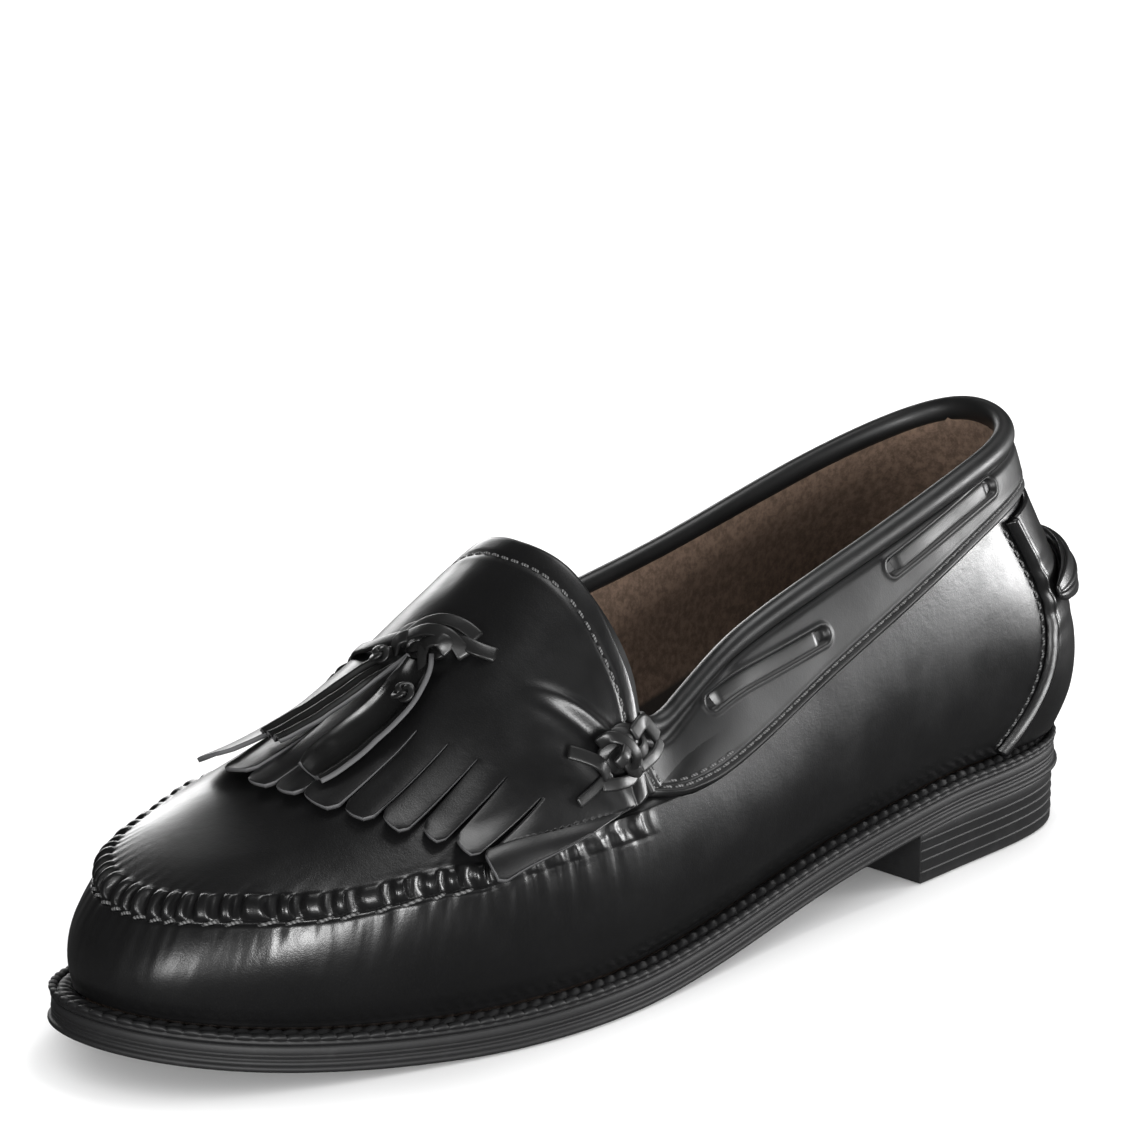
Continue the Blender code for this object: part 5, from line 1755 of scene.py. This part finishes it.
def make_slit_lace():
    """One flat lace from the inner slit to the outer one."""
    path, lift = dome_path(SLIT_LACE, 90)
    points, faces = sweep(path, lift, LACE_ACROSS, LACE_THICK, facets=16, power=3.0)
    made = build("slit_lace", points, [faces], [lace_hide])
    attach(made, "root")
    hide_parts("lace_to_outer_slit", "lace_to_inner_slit")


# %% [markdown]
# **Tassels.** Each is a piece of leather cut to a leaf and rolled round the lace. It is drawn
# as a sheet over (along, across): the sheet's edges curl up, so the outer tassel shows a
# glossy hollow between two raised cut edges, and the inner one lies rolled in parallel folds.

# %% Tassels
# Columns: x, s, height of its axis, half width, how far the edges curl up, in millimetres
LEAF_OUTER = (
    (1.6, 181.6, 4.4, 2.4, 1.2), (3.8, 185.4, 4.8, 3.6, 1.5), (4.4, 190.0, 4.2, 4.4, 1.7),
    (3.8, 195.0, 3.4, 4.8, 1.8), (2.6, 200.5, 3.1, 5.3, 1.7), (1.8, 205.5, 3.1, 5.5, 1.5),
    (1.1, 209.0, 3.2, 5.2, 1.2), (0.8, 211.6, 3.3, 4.2, 0.9),
)
LEAF_INNER = (
    (-3.2, 181.2, 4.6, 2.2, 0.8), (-5.6, 186.2, 4.6, 3.2, 0.9), (-8.2, 191.6, 4.2, 3.9, 0.9),
    (-10.8, 197.4, 3.9, 4.1, 0.9), (-13.6, 202.8, 3.8, 4.1, 0.8), (-15.8, 206.6, 3.8, 4.0, 0.7),
)
LEAF_THICK = 1.0


def leaf(name, cad_name, rows, folds, end_cut):
    """A curled sheet. Across it runs q from -1 to 1: the place is the half width times
    sin(q c) / sin(c), the height the curl times q^2, plus folds lengthwise."""
    route = smooth_route(rows, 110)
    x, s, height, half, curl = route.T
    q = np.linspace(-1, 1, 61)[None, :]
    lift = dome_normal(x, s)
    axis = dome_point(x, s, height)
    ahead = unit(np.gradient(axis, axis=0))
    side = unit(np.cross(ahead, lift))
    share = np.linspace(0, 1, len(x))[:, None]
    place = half[:, None] * np.sin(q * 1.25) / math.sin(1.25)
    rise = curl[:, None] * np.abs(q) ** 2.2
    for at, deep, wide in folds:
        rise = rise + deep * hump(q, at, wide) * smooth(0.02, 0.35, share)
    rise = rise + 0.12 * lattice_noise(
        np.stack([q * 4 + 0 * share, share * 26 + 0 * q, 0 * q + 0 * share], -1), 3.0, 4.0
    )
    slope = end_cut * q * half[:, None] * smooth(0.7, 1.0, share)
    top = axis[:, None] + side[:, None] * place[..., None] + lift[:, None] * rise[..., None]
    top = top + ahead[:, None] * slope[..., None]
    around = np.gradient(top, axis=1)
    normal = unit(np.cross(around, np.gradient(top, axis=0)))
    normal = normal * np.sign((normal * lift[:, None]).sum(-1, keepdims=True).mean())
    bottom = top - normal * LEAF_THICK
    points, faces = sheet_solid(top, bottom)
    top_cells = (len(x) - 1) * (q.size - 1)
    slots = np.concatenate([np.zeros(2 * top_cells), np.ones(len(faces) - 2 * top_cells)])
    made = build(name, points, [faces], [tassel_hide, cut_edge], slots)
    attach(made, "root")
    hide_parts(cad_name)
    return made


outer_folds = ((-0.55, 0.7, 0.22), (0.92, 0.4, 0.14), (0.15, -0.3, 0.35))
inner_folds = ((-0.62, 1.5, 0.24), (0.0, 1.7, 0.24), (0.62, 1.3, 0.24))
leaf_outer = leaf("tassel_leaf_outer", "tassel_outer", LEAF_OUTER, outer_folds, -0.18)
leaf_inner = leaf("tassel_leaf_inner", "tassel_inner", LEAF_INNER, inner_folds, 0.30)


def make_rosette():
    """Two small flat knots of lace that grip the tassels at their necks."""
    parts = []
    for x, s, height, size in ((6.2, 189.9, 7.0, 1.0), (-5.4, 184.4, 7.0, 0.9)):
        flat, lifts = trefoil(1.35 * size, 0.75 * size, 0.55, (1.0, 1.0), 0.2, 140)
        axes = dome_axes(x, s)
        ring, faces = ribbon_loop(
            in_frame(dome_point(x, s, height), axes, flat), lifts @ axes, 1.3, 0.7, 12
        )
        parts.append((ring, as_triangles(faces)))
    points, faces = merged(parts)
    made = build("tassel_rosettes", points, [faces], [lace_hide])
    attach(made, "root")
    return made


rosettes = make_rosette()
bow = make_bow()
make_slit_lace()

# %% [markdown]
# ## Heel strip and roll
# The back seam is covered by an hourglass strip. Its two long edges are piped, and a gathered
# roll of leather lies across its waist. The strip is a sheet over the wall; the roll is a
# closed tube whose section carries folds that run into its pinched ends.

# %% The heel strip and its roll
# Half width of the strip in turns at each rise of the wall. Columns: rise, half turn
STRIP = (
    (0.02, 0.110), (0.12, 0.102), (0.27, 0.090), (0.43, 0.081), (0.60, 0.077), (0.78, 0.080),
    (0.97, 0.086),
)
INNER_SIDE = 0.86
STRIP_LIFT = 1.1
KICKER_RISE = 0.63


def strip_turns(share, rises):
    """Turns of a place across the strip, from -1 on the inner seam to 1 on the outer."""
    half = table(STRIP, rises, 1)
    return half * share * np.where(share < 0, INNER_SIDE, 1)


def make_heel_strip():
    """A sheet over the wall, higher by a half circle of piping at each long edge."""
    q = np.linspace(-1, 1, 161)[None, :]
    rises = np.linspace(STRIP[0][0], STRIP[-1][0], 110)[:, None]
    share, rises = np.broadcast_arrays(q, rises)
    turns = strip_turns(share, rises)
    plain = face_place(turns, rises)
    middle = face_place(turns * 0, rises)
    width = np.linalg.norm(face_place(strip_turns(share * 0 + 1, rises), rises) - middle, axis=-1)
    from_edge = (1 - np.abs(share)) * width
    piping = 1.05 * np.sqrt(np.clip(1 - ((from_edge - 1.0) / 1.0) ** 2, 0, 1))
    groove = -0.35 * hump(from_edge, 2.5, 0.4)
    pinch = hump(rises, KICKER_RISE, 0.14)
    folds = 0.30 * pinch * np.cos(rises * 60 * math.pi / 3) * smooth(0.2, 0.6, np.abs(share))
    height = 0.45 + STRIP_LIFT * smooth(0.0, 0.5, from_edge) + piping + groove + folds
    height = height + 0.10 * lattice_noise(plain, 8.0, 1.0)
    normal = face_normal(turns, rises)
    top = plain + normal * height[..., None]
    bottom = plain + normal * 0.12
    points, faces = sheet_solid(top, bottom)
    made = build("heel_strip_leather", points, [faces], [polish])
    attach(made, "root")
    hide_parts("heel_strip")


def strip_stitches():
    """A row beside each piped edge, on the quarter's side of it."""
    rows = []
    for side in (-1.0, 1.0):
        rises = np.linspace(0.04, 0.96, 260)
        edge = strip_turns(np.full(260, side), rises)
        inward = strip_turns(np.full(260, side * 0.97), rises)
        span = np.linalg.norm(face_place(edge, rises) - face_place(inward, rises), axis=-1)
        turns = edge + (edge - inward) / np.maximum(span, 0.05) * 1.6
        path = face_point(turns, rises, np.full(260, 0.12))
        rows.append(stitch_row(path, face_normal(turns, rises), 2.0, 0.7, THREAD, proud=0.12))
    return rows


KICKER_HALF_TURN = 0.071
ROLL_WIDTH = 11.5
ROLL_THICK = 4.4


def make_roll():
    """The roll across the back: an ellipse whose radius is folded by a wave that turns
    slowly along it, narrow at both ends and half way."""
    count, facets = 150, 96
    share = np.linspace(-1, 1, count)
    turns = share * KICKER_HALF_TURN * np.where(share < 0, INNER_SIDE, 1)
    rises = np.full(count, KICKER_RISE) + 0.01 * np.sin(share * 5)
    full = np.clip(1 - 0.94 * np.abs(share) ** 2.6, 0.02, 1) ** 0.5
    waist = 1 - 0.16 * hump(share, 0, 0.16)
    thick = ROLL_THICK * full
    over = 0.45 + STRIP_LIFT + 0.2 + thick / 2 * 0.9 + 0.8 * np.abs(share) ** 6
    centre = face_point(turns, rises, over)
    lift = face_normal(turns, rises)
    ahead = unit(np.gradient(centre, axis=0))
    side = unit(np.cross(ahead, lift))
    angle = (np.arange(facets) / facets * 2 * math.pi)[None, :]
    wave = 0.10 * np.cos(7 * angle + 1.4 * share[:, None])
    wave = wave + 0.05 * np.cos(12 * angle - 2.0 * share[:, None] + 1.0)
    radius = 1 + wave * (0.35 + 0.65 * np.abs(share[:, None]))
    wide = (ROLL_WIDTH * full * waist / 2)[:, None] * np.cos(angle) * radius
    high = (thick / 2)[:, None] * np.sin(angle) * radius
    rings = centre[:, None] + side[:, None] * wide[..., None] + lift[:, None] * high[..., None]
    points = np.concatenate([rings.reshape(-1, 3), centre[:1], centre[-1:]])
    quads = grid_quads(count, facets, wrap_columns=True)
    made = build("heel_roll", points, [quads, *fan_caps(count, facets)], [polish])
    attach(made, "root")
    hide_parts("heel_kicker")


make_heel_strip()
make_roll()
add_threads("heel_strip_stitches", strip_stitches(), thread)

# %% [markdown]
# ## Sole unit
# Outsole, welt and heel follow one outline. Each is a profile carried round it, and the welt's
# rim is wheeled: a row of half-round beads pressed by a heated wheel. Inside the beads a
# twisted cord of leather covers the joint with the upper.

# %% Outsole, welt, heel and insole
SOLE_COLUMNS = 720
OUTSOLE_PROFILE = (
    (0.0, 1.6), (0.0, 0.5), (0.10, 0.0), (0.4, -0.42), (0.8, -0.55), (1.2, -0.5), (1.45, -0.1),
    (1.6, 0.22), (1.95, 0.3), (2.30, 0.3), (2.42, 0.14), (2.54, 0.16), (2.64, 0.42),
    (2.76, 0.30), (3.20, 0.3), (3.32, 0.14), (3.44, 0.16), (3.54, 0.42), (3.66, 0.3),
    (4.3, 0.26), (4.9, 0.3), (5.4, 0.5), (5.58, 0.95), (5.6, 1.6), (5.6, 4.0),
)
BEAD_PITCH = 3.4
WELT_COLUMNS = 2000
# How far the wheeled beads stand out and up, and how high the cord's plies are
WHEEL_OUT = 0.40
WHEEL_UP = 0.50
PLY_HEIGHT = 0.42


def sole_rings(profile, count, relief=None):
    """Rings round the outline from (height, inset) rows; relief may move them outwards."""
    turns = np.arange(count) / count
    edge = outline(turns)
    out = outward(edge)
    rings = []
    for k, (height, inset) in enumerate(profile):
        move = inset if relief is None else inset - relief[k][0]
        raise_by = 0.0 if relief is None else relief[k][1]
        place = edge - out * np.broadcast_to(move, (count,))[:, None]
        z = sole_bottom(place[:, 0]) + height + raise_by
        rings.append(world(np.column_stack([place, z])))
    return np.array(rings)


def capped_rings(rings):
    """Closed solid from closed rings whose first and last ring are bridged side to side."""
    rows, columns = rings.shape[:2]
    quads = grid_quads(rows, columns, wrap_columns=True)
    half = columns // 2
    i = np.arange(1, half - 1)
    bridge = np.stack([(columns - i) % columns, i, i + 1, columns - i - 1], 1)
    ends = np.array([[0, 1, columns - 1], [half - 1, half, half + 1]])
    caps, tips = [], []
    for start, flip in ((0, 1), ((rows - 1) * columns, -1)):
        caps.append(bridge[:, ::flip] + start)
        tips.append(ends[:, ::flip] + start)
    caps = np.concatenate(caps)
    tips = np.concatenate(tips)
    return rings.reshape(-1, 3), quads, caps, tips


def oriented(points, quads, caps, tips):
    """Faces of a capped tube with one direction throughout."""
    side_volume = enclosed(points - points.mean(0), [quads])
    cap_volume = enclosed(points - points.mean(0), [caps])
    if side_volume * cap_volume < 0:
        caps, tips = caps[:, ::-1], tips[:, ::-1]
    return [quads, caps, tips]


def make_outsole():
    """The outsole: its profile carried round the outline, closed by flat faces."""
    rings = sole_rings(OUTSOLE_PROFILE, SOLE_COLUMNS)
    points, quads, caps, tips = capped_rings(rings)
    made = build("outsole_rubber", points, oriented(points, quads, caps, tips), [rubber])
    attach(made, "root")
    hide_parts("outsole")


def outline_run(count):
    """Arc length in millimetres round the outline at each column, and its whole length."""
    edge = outline(np.arange(count) / count)
    steps = np.linalg.norm(np.roll(edge, -1, 0) - edge, axis=1)
    return np.concatenate([[0], np.cumsum(steps)[:-1]]), steps.sum()


def make_welt():
    """Profile: outer rim with wheeled beads, a valley, the twisted cord and the shelf."""
    run, total = outline_run(WELT_COLUMNS)
    beads = round(total / BEAD_PITCH)
    phase = run / total * beads
    base = OUTSOLE_EDGE + 0.05
    profile, relief = [], []
    scallop = np.sqrt(np.clip(1 - (2 * (phase % 1) - 1) ** 2, 0, 1))
    line = [
        (0.0, 1.5, 0.0), (0.0, 0.45, 0.0), (0.25, 0.15, 0.0), (0.55, 0.10, 0.0), (0.8, 0.30, 0.15),
    ]
    for angle in np.radians(np.linspace(-50, 200, 16)):
        line.append((1.55 + 0.62 * math.sin(angle), 0.72 - 0.82 * math.cos(angle), 1.0))
    for height, inset, share in line:
        lobe = share * (scallop - 0.72)
        profile.append((base + height, inset))
        outwards = WHEEL_OUT * lobe * (1 if inset < 0.9 else -0.4)
        relief.append((outwards, WHEEL_UP * lobe * (1 if height > 1.3 else 0)))
    for inset in np.linspace(1.7, 4.9, 18):
        share = (inset - 1.7) / 3.2
        arch = math.sin(share * math.pi) ** 0.7
        lobes = 0.5 + 0.5 * np.cos(2 * math.pi * (phase + share * 0.8))
        profile.append((base + 1.55 + 0.75 * arch, inset))
        relief.append((0.0, PLY_HEIGHT * arch * (lobes**0.7 - 0.6)))
    profile.append((base + 1.6, 5.4))
    relief.append((0.0, 0.0))
    profile.append((base, 5.6))
    relief.append((0.0, 0.0))
    rings = sole_rings(profile, WELT_COLUMNS, relief)
    points = rings.reshape(-1, 3)
    faces = grid_quads(*rings.shape[:2], True, True)
    made = build("welt_strip", points, [faces], [welt_rubber])
    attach(made, "root")
    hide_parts("welt")


HEEL_GROOVES = (2.6, 5.2, 7.4, 9.6)
HEEL_INSET = 0.7


def heel_plan(inset, count=260, breast=90):
    """The heel's outline seen from above: the sole's back and a straight breast."""
    fine = outline(np.arange(FINE) / FINE)
    fine = fine - outward(fine) * (HEEL_INSET + inset)
    keep = fine[:, 0] <= HEEL_BREAST - inset
    back = np.roll(fine, -np.argmin(keep), axis=0)
    back = back[np.roll(keep, -np.argmin(keep))]
    run = run_of(back)
    at = np.linspace(0, run[-1], count)
    curve = np.stack([np.interp(at, run, back[:, 0]), np.interp(at, run, back[:, 1])], 1)
    share = np.linspace(0, 1, breast + 2)[1:-1, None]
    return np.concatenate([curve, curve[-1] * (1 - share) + curve[0] * share])


def make_heel():
    """The heel block: its plan at rising heights, set in at each groove."""
    levels = [(0.0, 1.2), (0.0, 0.5), (0.15, 0.15), (0.5, 0.0)]
    for groove in HEEL_GROOVES:
        levels += [(groove - 0.20, 0.0), (groove - 0.10, -0.14), (groove + 0.02, -0.12)]
        levels += [(groove + 0.12, 0.16), (groove + 0.26, 0.0)]
    rings = []
    for height, inset in levels:
        plan = heel_plan(inset)
        rings.append(world(np.column_stack([plan, np.full(len(plan), height)])))
    plan = heel_plan(0.0)
    for short in (0.9, 0.0):
        rings.append(world(np.column_stack([plan, sole_bottom(plan[:, 0]) - short + 0.02])))
    rings = np.array(rings)
    rows, columns = rings.shape[:2]
    middle = rings[[0, -1]].mean(1)
    points = np.concatenate([rings.reshape(-1, 3), middle])
    quads = grid_quads(rows, columns, wrap_columns=True)
    made = build("heel_block", points, [quads, *fan_caps(rows, columns)], [rubber])
    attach(made, "root")
    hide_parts("heel")


def make_insole():
    """The footbed: a suede slab that fills the upper's inside down to the outsole."""
    count = 480
    edge = outline(np.arange(count) / count)
    out = outward(edge)
    inset = shelf_width(edge[:, 0]) + WALL + 2 * GAP
    floor, top = OUTSOLE_EDGE + 0.05, OUTSOLE_EDGE + GAP + WELT_EDGE + INSOLE_ABOVE_WELT
    rings = []
    for more, height in ((0.0, floor), (0.0, top - 0.7), (0.2, top - 0.25), (0.7, top), (3.0, top)):
        place = edge - out * (inset + more)[:, None]
        rings.append(world(np.column_stack([place, sole_bottom(place[:, 0]) + height])))
    points, quads, caps, tips = capped_rings(np.array(rings))
    made = build("insole_footbed", points, oriented(points, quads, caps, tips), [sock])
    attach(made, "root")
    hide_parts("insole")


make_outsole()
make_welt()
make_heel()
make_insole()
